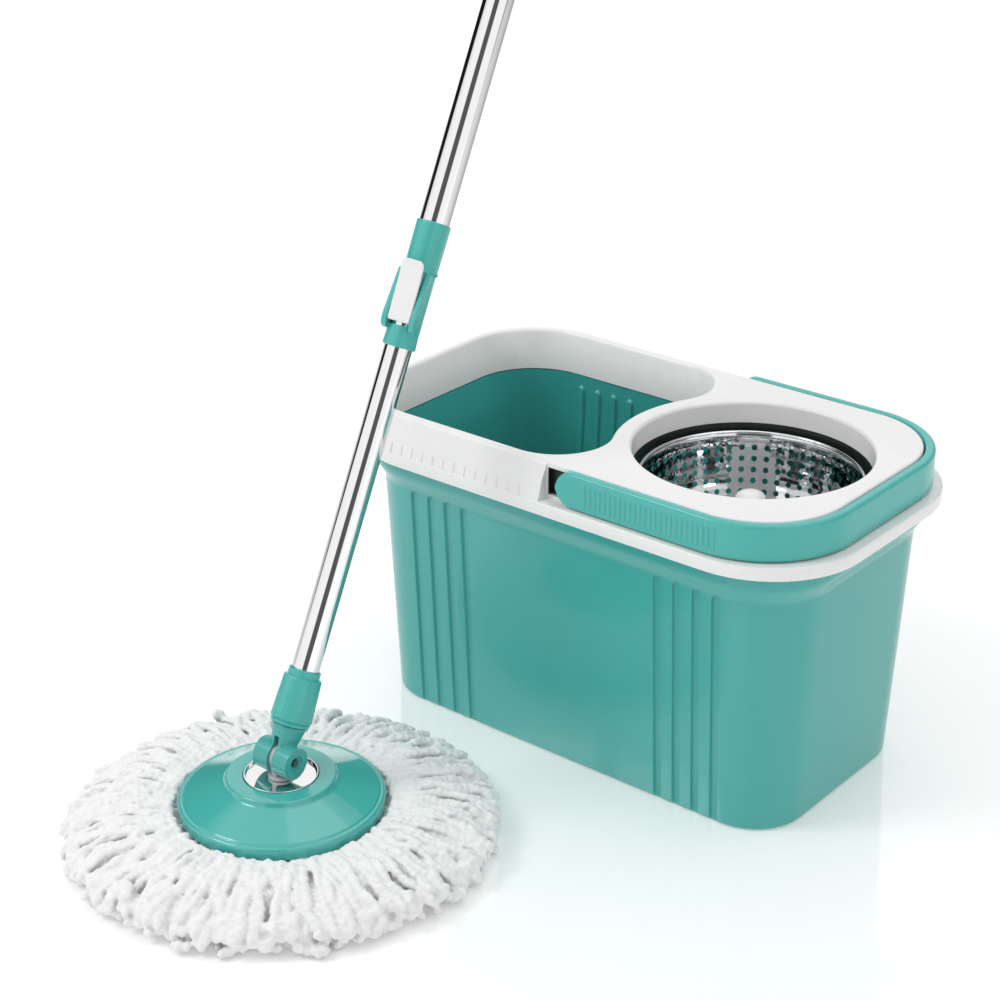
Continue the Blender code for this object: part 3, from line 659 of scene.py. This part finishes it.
def carry_handle(mat):
    middle, rows = HANDLE_PIVOT.z, 22
    loops = []
    for outer, inner, high in handle_stations():
        out, inn = Vector(outer), Vector(inner)
        across = (out - inn).normalized()
        thick = (out - inn).length
        edge = min(0.0026, high * 0.7)
        inner_edge = min(0.0014, high * 0.6)
        section = []
        for k in range(rows + 1):
            section.append((thick, -(high - edge) + 2 * (high - edge) * k / rows))
        section += [(thick - edge * (1 - math.cos(a)), high - edge * (1 - math.sin(a)))
                    for a in quarter(6, 1)]
        section += [(inner_edge * (1 - math.sin(a)), high - inner_edge * (1 - math.cos(a)))
                    for a in quarter(4)]
        section += [(inner_edge * (1 - math.cos(a)), -high + inner_edge * (1 - math.sin(a)))
                    for a in quarter(4)]
        section += [(thick - edge * (1 - math.sin(a)), -high + edge * (1 - math.cos(a)))
                    for a in quarter(6)[:-1]]
        loop = []
        for w, z in section:
            lift = rib_height(outer[0], middle + z) if w == thick and abs(outer[1]) > 0.120 else 0.0
            point = inn + across * (w + lift)
            loop.append((point.x, point.y, middle + z))
        loops.append(loop)
    bow = raw_object("bow", loft(loops))
    stubs = [cylinder((HANDLE_PIVOT.x, side * 0.1240, middle), 0.0050, 0.0066, "Y", 40)
             for side in (-1, 1)]
    piece("bow_handle", join(taken(bow), *stubs), "handle", ["carry_handle"], mat, angle=40)


# ---- spin basket ----------------------------------------------------------------------------

def pierced(place, across, down, hole):
    """A grid of cells, each with a round hole, laid over the surface that place(u, v) gives.

    hole(v) is the hole's radius as a share of a cell across and down.
    """
    bm = bmesh.new()
    ring = 16
    for j in range(down):
        for i in range(across):
            ru, rv = hole(j)
            edge, inner = [], []
            for k in range(ring):
                a = math.tau * k / ring + math.pi / 4
                c, s = math.cos(a), math.sin(a)
                reach = 0.5 / max(abs(c), abs(s))
                edge.append(bm.verts.new(place(i + 0.5 + c * reach, j + 0.5 + s * reach)))
                inner.append(bm.verts.new(place(i + 0.5 + c * ru, j + 0.5 + s * rv)))
            for k in range(ring):
                n = (k + 1) % ring
                bm.faces.new((edge[k], edge[n], inner[n], inner[k]))
    return bm


def basket_bowl(mat):
    floor = BASKET_FLOOR_Z
    around, pitch, top_row = 52, 0.0095, 0.2428
    rows = 6

    def wall_radius(z):
        return 0.0820 + (0.0871 - 0.0820) * (z - 0.1945) / (0.2475 - 0.1945)

    def on_wall(u, v):
        a = math.tau * u / around
        z = top_row - pitch * v
        r = wall_radius(z)
        return (r * math.cos(a), r * math.sin(a), z)

    wall = pierced(on_wall, around, rows, lambda j: (0.235, 0.263))
    low_z = top_row - pitch * rows
    spokes, step, start = 28, 0.0100, 0.0330

    def on_floor(u, v):
        a, r = math.tau * u / spokes, start + step * v
        return (r * math.cos(a), r * math.sin(a), floor + BASKET_SHEET / 2)

    def floor_hole(j):
        return 0.0023 / (math.tau * (start + step * (j + 0.5)) / spokes), 0.23

    bowl = join(wall, pierced(on_floor, spokes, 2, floor_hole))

    steps = 208
    strips = [[(wall_radius(top_row), top_row), (wall_radius(0.2460), 0.2460),
               (0.0874, 0.2484), (0.0880, 0.2498)],
              [(wall_radius(low_z), low_z), (0.0800, floor + 0.0170), (0.0784, floor + 0.0112),
               (0.0756, floor + 0.0068), (0.0716, floor + 0.0034), (0.0664, floor + 0.0014),
               (0.0600, floor + BASKET_SHEET / 2), (start + 2 * step, floor + BASKET_SHEET / 2)],
              [(start, floor + BASKET_SHEET / 2), (0.0206, floor + BASKET_SHEET / 2)]]
    for strip in strips:
        rings = [[bowl.verts.new((r * math.cos(math.tau * k / steps), r * math.sin(math.tau * k / steps), z))
                  for k in range(steps)] for r, z in strip]
        for low, high in zip(rings, rings[1:]):
            for k in range(steps):
                n = (k + 1) % steps
                bowl.faces.new((low[k], low[n], high[n], high[k]))
    bmesh.ops.remove_doubles(bowl, verts=bowl.verts, dist=0.00012)
    obj = raw_object("spin_bowl", bowl)
    solid = obj.modifiers.new("sheet", "SOLIDIFY")
    solid.thickness = BASKET_SHEET * 0.8
    solid.offset = 0.0
    applied(obj)
    finished(obj, "basket", ["basket_bowl"], mat, SPINDLE, 40)
    bead = [(0.0889 + 0.0016 * math.cos(a), 0.2505 + 0.0015 * math.sin(a))
            for a in (math.tau * k / 16 for k in range(16))]
    piece("bowl_bead", lathe(bead, 160), "basket", [], mat, SPINDLE)


def basket_hub(white, cap_mat):
    floor = BASKET_FLOOR_Z
    hub = softened([(0.0078, 0.1560), (0.0300, 0.1560), (0.0300, floor - 0.0003), (0.0198, floor - 0.0003),
                    (0.0190, 0.1800), (0.0150, 0.2100), (0.0124, 0.2262), (0.0078, 0.2262)], 0.0010)
    piece("hub_cone", lathe(hub, 96), "basket", ["basket_hub"], white, SPINDLE)
    cap = [(0.0, 0.2245), (0.0074, 0.2245), (0.0074, 0.2265), (0.0126, 0.2265), (0.0126, 0.2300),
           (0.0112, 0.2342), (0.0070, 0.2364), (0.0, 0.2370)]
    cap = softened(cap, [0, 0.0004, 0.0002, 0.0006, 0.0020, 0.0030, 0.0030, 0], closed=False)
    piece("hub_top", lathe(cap, 96), "basket", ["hub_cap"], cap_mat, SPINDLE)
    piece("clamp", lathe(ring_shape(0.0202, 0.0300, floor + 0.0014, floor + 0.0041), 96), "basket",
          ["clamp_ring"], white, SPINDLE)


# ---- mop head -------------------------------------------------------------------------------

def bobbled(path, radius, rng, nodes, swell=0.0, sides=8):
    """A soft tube along a path, swelling and shrinking like chenille, with round ends."""
    phase, depth = rng.uniform(0.0, math.pi), rng.uniform(0.16, 0.30)
    seed = Vector((rng.uniform(-9, 9), rng.uniform(-9, 9), rng.uniform(-9, 9)))
    loops, last = [], len(path) - 1
    for k, point in enumerate(path):
        t = k / last
        along = (path[min(last, k + 1)] - path[max(0, k - 1)]).normalized()
        across = along.cross(Vector((0, 0, 1))).normalized()
        up = across.cross(along)
        size = 1.0 - depth + depth * 1.6 * abs(math.sin(math.pi * nodes * t + phase)) ** 0.8
        size += 0.30 * noise.noise(seed + Vector((0, 0, t * nodes * 0.8)))
        end = min(t, 1 - t) * last / 2.5
        size *= radius * (1 + swell * t) * math.sqrt(max(0.02, 1 - max(0.0, 1 - end) ** 2))
        loops.append([point + across * (size * math.cos(b)) + up * (size * math.sin(b))
                      for b in (math.tau * q / sides for q in range(sides))])
    return loops


def strand(rng, angle, layer):
    """One strand, from under the disc's edge out to the rim of the pad."""
    start_r = (0.0826, 0.0760, 0.0760, 0.0760)[layer] + rng.uniform(-0.0008, 0.0012)
    end_r = PAD_R - (0.0, 0.0010, 0.0030, 0.0060)[layer] - abs(rng.gauss(0.0, 0.0050))
    top = (0.0342, 0.0290, 0.0230, 0.0150)[layer] + rng.uniform(-0.0010, 0.0010)
    fall = (0.0170, 0.0125, 0.0080, 0.0050)[layer] + rng.uniform(-0.0040, 0.0040)
    drift, wave = rng.gauss(0.0, 0.030), rng.uniform(0.0007, 0.0024)
    turns, phase = rng.uniform(7.0, 15.0), rng.uniform(0.0, math.tau)
    path, count = [], 46
    for k in range(count + 1):
        t = k / count
        r = start_r + (end_r - start_r) * t
        a = angle + drift * t ** 1.4
        side = wave * math.sin(phase + turns * t) * min(1.0, 4 * t)
        z = top - (top - max(0.0032, fall)) * t ** 4.0 + 0.0011 * math.sin(phase * 2 + turns * 1.3 * t)
        z += 0.0016 * math.sin(math.pi * min(1.0, 1.6 * t))
        path.append(Vector((math.cos(a) * r - math.sin(a) * side,
                            math.sin(a) * r + math.cos(a) * side, z)))
    return bobbled(path, rng.uniform(0.0025, 0.0032), rng, 17, swell=0.42)


def tuft(rng, angle):
    """A short loose end at the rim, pointing roughly outwards."""
    height = rng.uniform(0.0045, 0.0245)
    rim = PAD_R + 0.0010 - 22.0 * max(0.0, height - 0.0080) ** 2 - rng.uniform(0.0, 0.0070)
    length, swing, rise = rng.uniform(0.010, 0.018), rng.gauss(0.0, 0.55), rng.gauss(-0.10, 0.30)
    out = Vector((math.cos(angle + swing), math.sin(angle + swing), rise))
    tip = Vector((math.cos(angle) * rim, math.sin(angle) * rim, height))
    curl = Vector((-math.sin(angle), math.cos(angle), 0)) * rng.uniform(-0.0030, 0.0030)
    path = [tip - out * (length * (1 - t)) + curl * math.sin(math.pi * t)
            for t in (k / 10 for k in range(11))]
    for point in path:
        point.z = max(0.0034, point.z)
    return bobbled(path, rng.uniform(0.0037, 0.0050), rng, 2.5)


def cuff(rng, angle):
    """A short fat tuft against the disc's edge."""
    out, height = Vector((math.cos(angle), math.sin(angle), 0)), rng.uniform(0.0308, 0.0332)
    path = [out * (0.0835 + 0.0110 * k / 8) + Vector((0, 0, height)) for k in range(9)]
    return bobbled(path, rng.uniform(0.0036, 0.0050), rng, 1.0)


def fibre_mat(mat):
    """The strands, fused where they touch, and roughened into soft tufts."""
    rng, cuffs, tufts = random.Random(11), 62, 330
    strands = []
    for layer, count in ((0, 138), (1, 132), (2, 120), (3, 110)):
        for k in range(count):
            strands.append(strand(rng, math.tau * (k + rng.uniform(-0.3, 0.3)) / count, layer))
    for k in range(cuffs):
        strands.append(cuff(rng, math.tau * (k + rng.uniform(-0.3, 0.3)) / cuffs))
    for k in range(tufts):
        strands.append(tuft(rng, math.tau * (k + rng.uniform(-0.4, 0.4)) / tufts))
    verts, faces = [], []
    for loops in strands:
        base, sides = len(verts), len(loops[0])
        for loop in loops:
            verts += [tuple(p) for p in loop]
        for k in range(len(loops) - 1):
            for q in range(sides):
                n = (q + 1) % sides
                faces.append((base + k * sides + q, base + k * sides + n,
                              base + (k + 1) * sides + n, base + (k + 1) * sides + q))
        faces.append(tuple(base + q for q in reversed(range(sides))))
        faces.append(tuple(base + (len(loops) - 1) * sides + q for q in range(sides)))
    mesh = bpy.data.meshes.new("strands")
    mesh.from_pydata(verts, [], faces)
    obj = bpy.data.objects.new("strands", mesh)
    bpy.context.scene.collection.objects.link(obj)
    core = [(0.0, 0.0008), (0.1500, 0.0008), (0.1585, 0.0050), (0.1575, 0.0125), (0.1520, 0.0196),
            (0.1425, 0.0256), (0.1230, 0.0312), (0.0920, 0.0336), (0.0830, 0.0330),
            (0.0760, 0.0240), (0.0, 0.0240)]
    filler = lathe(core, 96)
    filler.from_mesh(mesh)
    filler.to_mesh(mesh)
    filler.free()
    mod = obj.modifiers.new("fuse", "REMESH")
    mod.mode = "VOXEL"
    mod.voxel_size = 0.00115
    smooth = obj.modifiers.new("smooth", "SMOOTH")
    smooth.iterations = 1
    applied(obj)
    mesh = obj.data
    count = len(mesh.vertices)
    place = np.empty(count * 3)
    normal = np.empty(count * 3)
    mesh.vertices.foreach_get("co", place)
    mesh.vertices.foreach_get("normal", normal)
    place, normal = place.reshape(-1, 3), normal.reshape(-1, 3)
    lift = np.array([noise.noise(Vector(p) * 230.0) * 0.00085 + noise.noise(Vector(p) * 520.0) * 0.00030
                     for p in place])
    place += normal * lift[:, None]
    # at rest the mat lies a little wider one way than the other
    turn = math.radians(39.0)
    wide = place[:, 0] * math.cos(turn) + place[:, 1] * math.sin(turn)
    deep = place[:, 1] * math.cos(turn) - place[:, 0] * math.sin(turn)
    away = np.clip((np.hypot(wide, deep) - 0.085) / 0.08, 0.0, 1.0)
    wide, deep = wide * (1 + 0.006 * away), deep * (1 - 0.055 * away)
    place[:, 0] = wide * math.cos(turn) - deep * math.sin(turn)
    place[:, 1] = wide * math.sin(turn) + deep * math.cos(turn)
    place[:, 2] = np.maximum(place[:, 2], 0.0003)
    under = (np.hypot(place[:, 0], place[:, 1]) < 0.0795) & (place[:, 2] > 0.0235)
    place[under, 2] = 0.0235
    mesh.vertices.foreach_set("co", place.ravel())
    finished(obj, "mop_head", ["fibre_pad"], mat, DISC, 180)
    obj.name = "chenille_ring"


def disc(teal, chrome, grey):
    edge, ring = DISC_EDGE_Z, RING_Z
    top = [(0.0294, ring - 0.0034), (0.0294, ring), (0.0428, ring), (0.0442, ring - 0.0042),
           (0.0750, edge + 0.0026), (0.0762, edge + 0.0012), (0.0788, edge + 0.0016), (DISC_R, edge),
           (DISC_R + 0.0004, 0.0330)]
    under = [(0.0784, 0.0330), (0.0781, edge - 0.0016), (0.0425, ring - 0.0066), (0.0140, ring - 0.0066),
             (0.0140, 0.0330), (0.0104, 0.0330), (0.0104, ring - 0.0034)]
    radii = [0, 0.0007, 0.0012, 0.0030, 0.0008, 0.0006, 0.0009, 0.0016, 0.0003] + [0.0002] * 7
    piece("disc", lathe(softened(top + under, radii, 5), 192), "mop_head", ["disc_cover"], teal, DISC, 30)

    plate_z = ring - 0.0031
    plate = [(0.0066, plate_z), (0.0290, plate_z), (0.0290, ring + 0.0006), (0.0280, ring + 0.0006),
             (0.0272, plate_z + 0.0008), (0.0066, plate_z + 0.0008)]
    piece("mirror_plate", lathe(softened(plate, 0.0003, 4), 128), "mop_head", ["chrome_plate"], chrome, DISC)

    flange_z = ring - 0.0020
    stem = [(0.0, 0.0262), (0.0059, 0.0262), (0.0059, flange_z), (0.0100, flange_z),
            (0.0100, flange_z + 0.0018), (0.0080, flange_z + 0.0026), (0.0, flange_z + 0.0026)]
    link = raw_object("turning_link", lathe(softened(stem, [0, 0.0003, 0.0003, 0.0003, 0.0006, 0.0006, 0],
                                                     closed=False), 64))
    eye = [(PIN_Z + dz, dy) for dy, dz in arc(0, 0, 0.0102, -20, 200, 40)]
    foot = flange_z + 0.0010
    cut(link, side_plate([(foot, 0.0070)] + eye + [(foot, -0.0070)], -0.0021, 0.0021), "UNION")
    cut(link, cylinder((0, 0, PIN_Z), 0.0033, 0.02, "X", 40))
    finished(link, "swivel", ["pivot_link"], grey, DISC, 40)


# ---- pole -----------------------------------------------------------------------------------

def knuckle(mat):
    body = softened([(0.0, -0.0010), (0.0098, -0.0010), (0.0104, 0.0120), (0.0134, 0.0245), (0.0134, 0.0262),
                     (0.0094, 0.0266), (0.0094, 0.0400), (0.0, 0.0400)], 0.0008, closed=False)
    yoke = raw_object("fork", lathe(body, 72))
    cut(yoke, cylinder((0, 0, 0), 0.0123, 0.0346, "X", 96), "UNION")
    cut(yoke, cylinder((0, 0, -0.0014), 0.0121, 0.0346, "X", 96), "UNION")
    # small steps round the barrel's lower front and back
    for side in (-1, 1):
        for depth, low, top in ((0.0116, -0.0080, -0.0046), (0.0098, -0.0105, -0.0080),
                                (0.0074, -0.0200, -0.0105)):
            low_y, high_y = sorted((side * depth, side * 0.0200))
            cut(yoke, box((-0.0200, low_y, low), (0.0200, high_y, top)))
    slot = [(-0.0200, 0.0250), (0.0162, 0.0250), (0.0162, -0.0250), (-0.0200, -0.0250)]
    cut(yoke, side_plate(slot, -0.0024, 0.0024))
    for side in (-1, 1):
        cut(yoke, cylinder((side * 0.0176, 0, 0), 0.0062, 0.0040, "X", 48))
    cut(yoke, cylinder((0, 0, 0), 0.0033, 0.05, "X", 32))
    fused(yoke, 0.00042, 2)
    finished(yoke, "lower_pole", ["knuckle"], mat, POLE, 180)


def screw_collar(mat):
    flats = 14

    def ring(radius, s, share):
        """A round ring at share 0, and one with flats at share 1."""
        points = []
        for k in range(flats * 12):
            a = math.tau * k / (flats * 12)
            off = (a * flats / math.tau % 1.0 - 0.5) * math.tau / flats
            flat = math.cos(math.pi / flats) / math.cos(off)
            groove = 0.985 if abs(off) > math.pi / flats * 0.88 else 1.0
            r = radius * (1 + share * (min(flat, 0.988) * groove / 0.988 - 1))
            points.append((r * math.cos(a), r * math.sin(a), s))
        return points

    low, high = COLLAR_SPAN
    bore = LOWER_R + 0.0002
    levels = [(bore, low, 0), (0.0151, low, 0), (0.0155, low + 0.0004, 0), (0.0155, low + 0.0024, 0),
              (0.0150, low + 0.0028, 0), (0.0150, low + 0.0034, 0), (0.0160, low + 0.0037, 1),
              (0.0166, low + 0.0044, 1), (0.0151, high - 0.0075, 1), (0.0146, high - 0.0064, 0.6),
              (0.0138, high - 0.0059, 0), (0.0127, high - 0.0057, 0), (0.0126, high - 0.0050, 0),
              (0.0126, high - 0.0006, 0), (0.0122, high, 0), (bore, high, 0)]
    loops = [ring(r, s, share) for r, s, share in levels]
    piece("fluted_collar", loft(loops, closed_chain=True), "collar", ["screw_collar"], mat, POLE, 26)


def tubes(lower_mat, upper_mat):
    low, high = LOWER_SPAN
    piece("thin_tube", lathe(ring_shape(LOWER_R - 0.0008, LOWER_R, low, high), 128), "lower_pole",
          ["lower_tube"], lower_mat, POLE)
    low, high = UPPER_SPAN
    piece("thick_tube", lathe(ring_shape(UPPER_R - 0.0005, UPPER_R, low, high, 0.0002), 128), "upper_pole",
          ["upper_tube"], upper_mat, POLE)


def lock(teal, white):
    low, high = SLEEVE_SPAN
    bore, seat = LOWER_R + 0.0004, UPPER_R + 0.0003
    profile = [(bore, low), (0.0124, low), (0.0130, low + 0.0015), (0.0126, low + 0.0115),
               (0.0127, BEAD_S - 0.0016), (0.0139, BEAD_S - 0.0010), (0.0139, BEAD_S + 0.0002),
               (0.0131, BEAD_S + 0.0010), (0.0134, high - 0.0010), (0.0130, high), (seat, high),
               (seat, UPPER_SPAN[0] - 0.0003), (bore, UPPER_SPAN[0] - 0.0003)]
    sleeve = raw_object("grip_sleeve", lathe(softened(profile, 0.0003, 2), 96))
    pin_s, pin_y = LEVER_PIN
    cheek = [(pin_s - 0.0095, -0.0060), (pin_s - 0.0080, -0.0135), (pin_s - 0.0035, -0.0163),
             (pin_s + 0.0030, -0.0163), (pin_s + 0.0380, -0.0105), (pin_s + 0.0390, -0.0060)]
    cheek = softened(cheek, 0.0025, 5)
    for x in (-0.0137, 0.0095):
        cut(sleeve, side_plate(cheek, x, x + 0.0042), "UNION")
    cut(sleeve, box((-0.0093, -0.0300, pin_s - 0.0045), (0.0093, -0.0040, pin_s + 0.0060)))
    cut(sleeve, cylinder((0, pin_y, pin_s), 0.0014, 0.04, "X", 24))
    fused(sleeve, 0.00040, 2)
    finished(sleeve, "upper_pole", ["lock_sleeve"], teal, SLEEVE, 180)

    boss = [(dz, dy) for dy, dz in arc(0, 0, 0.0022, 200, 340, 16)]
    plate = boss + [(0.0020, 0.0004), (0.0320, -0.0008), (0.0400, -0.0022), (0.0450, -0.0042),
                    (0.0457, -0.0052), (0.0449, -0.0060), (0.0392, -0.0042), (0.0320, -0.0030),
                    (0.0020, -0.0022)]
    outline = [(pin_s + dz, pin_y + dy) for dz, dy in plate]
    lever = raw_object("flip_lever", side_plate(outline, -0.0090, 0.0090))
    # the far corners are cut round
    for side in (-1, 1):
        r = 0.0040
        x, s = side * (0.0090 - r), pin_s + 0.0458 - r
        corner = [(x, s), (x, s + 0.02), (x + side * 0.02, s + 0.02), (x + side * 0.02, s)]
        keep = raw_object("keep", loft([[(px, y, ps) for px, ps in corner]
                                        for y in (pin_y - 0.02, pin_y + 0.01)]))
        cut(keep, cylinder((x, pin_y, s), r, 0.08, "Y", 64))
        cut(lever, taken(keep))
    cut(lever, cylinder((0, pin_y, pin_s), 0.0013, 0.04, "X", 24))
    fused(lever, 0.00032, 2)
    finished(lever, "lever", ["lock_lever"], white, SLEEVE, 180)


def grip(grip_mat, cap_mat):
    low, high = GRIP_SPAN
    bore = UPPER_R + 0.0003
    profile = [(bore, low), (0.0138, low), (0.0148, low + 0.0020)]
    for k in range(4):
        start = low + 0.015 + k * (high - low - 0.030) / 4
        profile += [(0.0150, start), (0.0140, start + 0.0040), (0.0140, start + 0.0120),
                    (0.0150, start + 0.0160)]
    profile += [(0.0150, high), (bore, high)]
    piece("hand_grip", lathe(softened(profile, 0.0030, 4), 96), "upper_pole", ["grip"], grip_mat, POLE)
    top = UPPER_SPAN[1]
    cap = [(0.0, top - 0.0150), (0.0109, top - 0.0150), (0.0109, top + 0.0003), (0.0150, top + 0.0003),
           (0.0150, top + 0.0060), (0.0135, top + 0.0090), (0.0, top + 0.0100)]
    cap = softened(cap, [0, 0.0004, 0.0002, 0.0006, 0.0020, 0.0020, 0], closed=False)
    end_cap = raw_object("hanging_cap", lathe(cap, 96))
    eye_s = CAP_TOP_S - 0.0120
    outline = [(eye_s + dz, dy) for dy, dz in arc(0, 0, 0.0120, 0, 180, 40)]
    outline += [(top + 0.0060, -0.0120), (top + 0.0060, 0.0120)]
    cut(end_cap, side_plate(outline, -0.0040, 0.0040), "UNION")
    cut(end_cap, cylinder((0, 0, eye_s), 0.0065, 0.03, "X", 48))
    fused(end_cap, 0.00050, 3)
    finished(end_cap, "upper_pole", ["end_cap"], cap_mat, POLE, 180)


# ---- studio ---------------------------------------------------------------------------------

def studio_world():
    """White all round for what is lit, with a few dark strips that only reflections show."""
    world = bpy.data.worlds.new("studio")
    world.use_nodes = True
    bpy.context.scene.world = world
    tree = world.node_tree
    background = tree.nodes["Background"]
    background.inputs["Strength"].default_value = 1.0
    where = node(tree, "ShaderNodeTexCoord")
    parts = node(tree, "ShaderNodeSeparateXYZ")
    tree.links.new(where.outputs["Generated"], parts.inputs["Vector"])
    turn = node(tree, "ShaderNodeMath", operation="ARCTAN2")
    tree.links.new(parts.outputs["Y"], turn.inputs[0])
    tree.links.new(parts.outputs["X"], turn.inputs[1])
    ramp = node(tree, "ShaderNodeValToRGB")
    tree.links.new(ranged(tree, turn.outputs["Value"], 0.0, 1.0, -math.pi, math.pi), ramp.inputs["Fac"])
    strips = [(-214, -153, 0.015), (-77, -40, 0.10), (12, 108, 0.36)]
    stops = [(0.0, 0.015)]
    for start, end, value in strips:
        for degrees, level in ((start - 1.5, 1.0), (start + 1.5, value),
                               (end - 1.5, value), (end + 1.5, 1.0)):
            if degrees > -180:
                stops.append(((degrees + 180) / 360, level))
    stops += [((146 - 1.5 + 180) / 360, 1.0), ((146 + 1.5 + 180) / 360, 0.015)]
    stops.sort()
    elements = ramp.color_ramp.elements
    elements[0].position, elements[1].position = stops[0][0], stops[-1][0]
    for position, _ in stops[1:-1]:
        elements.new(position)
    for element, (_, level) in zip(elements, stops):
        element.color = (level,) * 3 + (1.0,)
    seen = node(tree, "ShaderNodeMix", data_type="RGBA")
    seen.inputs["B"].default_value = (1.0, 1.0, 1.0, 1.0)
    tree.links.new(ranged(tree, parts.outputs["Z"], 0.0, 1.0, 0.70, 0.82), seen.inputs["Factor"])
    tree.links.new(ramp.outputs["Color"], seen.inputs["A"])
    rays = node(tree, "ShaderNodeLightPath")
    mix = node(tree, "ShaderNodeMix", data_type="RGBA")
    tree.links.new(ranged(tree, rays.outputs["Is Camera Ray"], 0.77, 1.0, 0.0, 1.0), mix.inputs["A"])
    tree.links.new(rays.outputs["Is Glossy Ray"], mix.inputs["Factor"])
    tree.links.new(seen.outputs["Result"], mix.inputs["B"])
    tree.links.new(mix.outputs["Result"], background.inputs["Color"])


def area_light(name, place, target, size, power):
    light = bpy.data.lights.new(name, "AREA")
    light.shape = "DISK"
    light.size = size
    light.energy = power
    obj = bpy.data.objects.new(name, light)
    bpy.context.scene.collection.objects.link(obj)
    obj.location = place
    obj.rotation_mode = "QUATERNION"
    obj.rotation_quaternion = (Vector(target) - Vector(place)).to_track_quat("-Z", "Y")
    return obj


def studio():
    scene = bpy.context.scene
    scene.view_settings.view_transform = "Standard"
    studio_world()
    floor_mat, tree, shader = new_material("floor")
    tinted(tree, shader, noise_on(tree, 2.0), (0.92, 0.92, 0.92), (0.93, 0.93, 0.93))
    shader.inputs["Roughness"].default_value = 0.09
    shader.inputs["IOR"].default_value = 1.95
    shader.inputs["Emission Color"].default_value = (1.0, 1.0, 1.0, 1.0)
    shader.inputs["Emission Strength"].default_value = 0.20
    floor = raw_object("floor", prism([(-8, -8), (8, -8), (8, 8), (-8, 8)], -0.02, -0.0002))
    floor.data.materials.append(floor_mat)
    area_light("key", (-1.5, -1.9, 2.6), (0, -0.1, 0.1), 1.2, 27.0)
    area_light("top", (0.4, 0.6, 2.8), (0, 0, 0.1), 2.0, 7.0)

    camera = bpy.data.cameras.new("camera")
    camera.lens = 78.473
    camera.sensor_width = 36.0
    view = bpy.data.objects.new("camera", camera)
    scene.collection.objects.link(view)
    view.location = (0.94373, -1.34569, 0.95060)
    view.rotation_mode = "QUATERNION"
    view.rotation_quaternion = Vector((-0.5739, 0.7049, -0.4167)).to_track_quat("-Z", "Y")
    scene.camera = view


def repaint(names, mat):
    """Gives CAD nodes that keep their shape a finished material."""
    for name in names:
        for held in NODES[name].material_slots:
            held.material = mat


def main():
    studio()
    along_pole = ((900.0, 900.0, 3.0), (0.0, 0.0, 0.0))
    teal = plastic("teal_gloss", TEAL, 0.22, coat=0.25)
    teal_disc = plastic("teal_disc", TEAL_LIGHT, 0.16, coat=0.8)
    teal_light = plastic("teal_handle", TEAL_LIGHT, 0.26, coat=0.2)
    white = plastic("white_gloss", WHITE, 0.28, coat=0.3)
    dull_white = plastic("white_satin", OFF_WHITE, 0.45, coat=0.0, change=0.02)
    # black plastic used only for painted shade, in the cover's gap ring and handle pockets
    shade_black = plastic("painted_shade_black", (0.012, 0.013, 0.013), 0.4, coat=0.1)
    grey = plastic("grey_satin", GREY, 0.38, coat=0.2)
    chrome = metal("chrome", (0.90, 0.90, 0.91), 0.02, 0.05, scale=25.0)
    # the rim darkening on both tube chromes is a painted dark reflection, stronger on the upper tube
    lower_chrome = metal("lower_tube_chrome", (0.90, 0.90, 0.91), 0.015, 0.045, along_pole, 1.0, rim=0.25)
    upper_chrome = metal("upper_tube_chrome", (0.90, 0.90, 0.91), 0.015, 0.045, along_pole, 1.0, rim=0.75)
    sheet = metal("basket_steel", (0.78, 0.79, 0.80), 0.02, 0.05, scale=60.0)
    dark_steel = metal("dark_steel", (0.16, 0.17, 0.17), 0.25, 0.40, scale=300.0)
    steel = metal("ground_steel", (0.62, 0.63, 0.64), 0.22, 0.36, scale=300.0, bump=0.05)

    bucket_shell(teal)
    rim_cover(white, shade_black)
    skirt_ridges(white)
    carry_handle(teal_light)
    basket_bowl(sheet)
    basket_hub(dull_white, white)
    fibre_mat(chenille("chenille"))
    disc(teal_disc, chrome, grey)
    knuckle(teal)
    screw_collar(teal_light)
    tubes(lower_chrome, upper_chrome)
    lock(teal_light, white)
    grip(rubbery("grip_rubber", TEAL), teal)
    repaint(["spindle_stand", "pad_ring", "disc_base", "nut_housing", "nut_retainer", "rod_anchor"],
            dull_white)
    repaint(["spin_bush", "swivel_bush", "ratchet_nut"], grey)
    repaint(["spindle_rod", "disc_screw_1", "disc_screw_2", "disc_screw_3", "swivel_nut",
             "lever_pin", "drive_rod"], steel)
    repaint(["knuckle_pin"], dark_steel)


main()
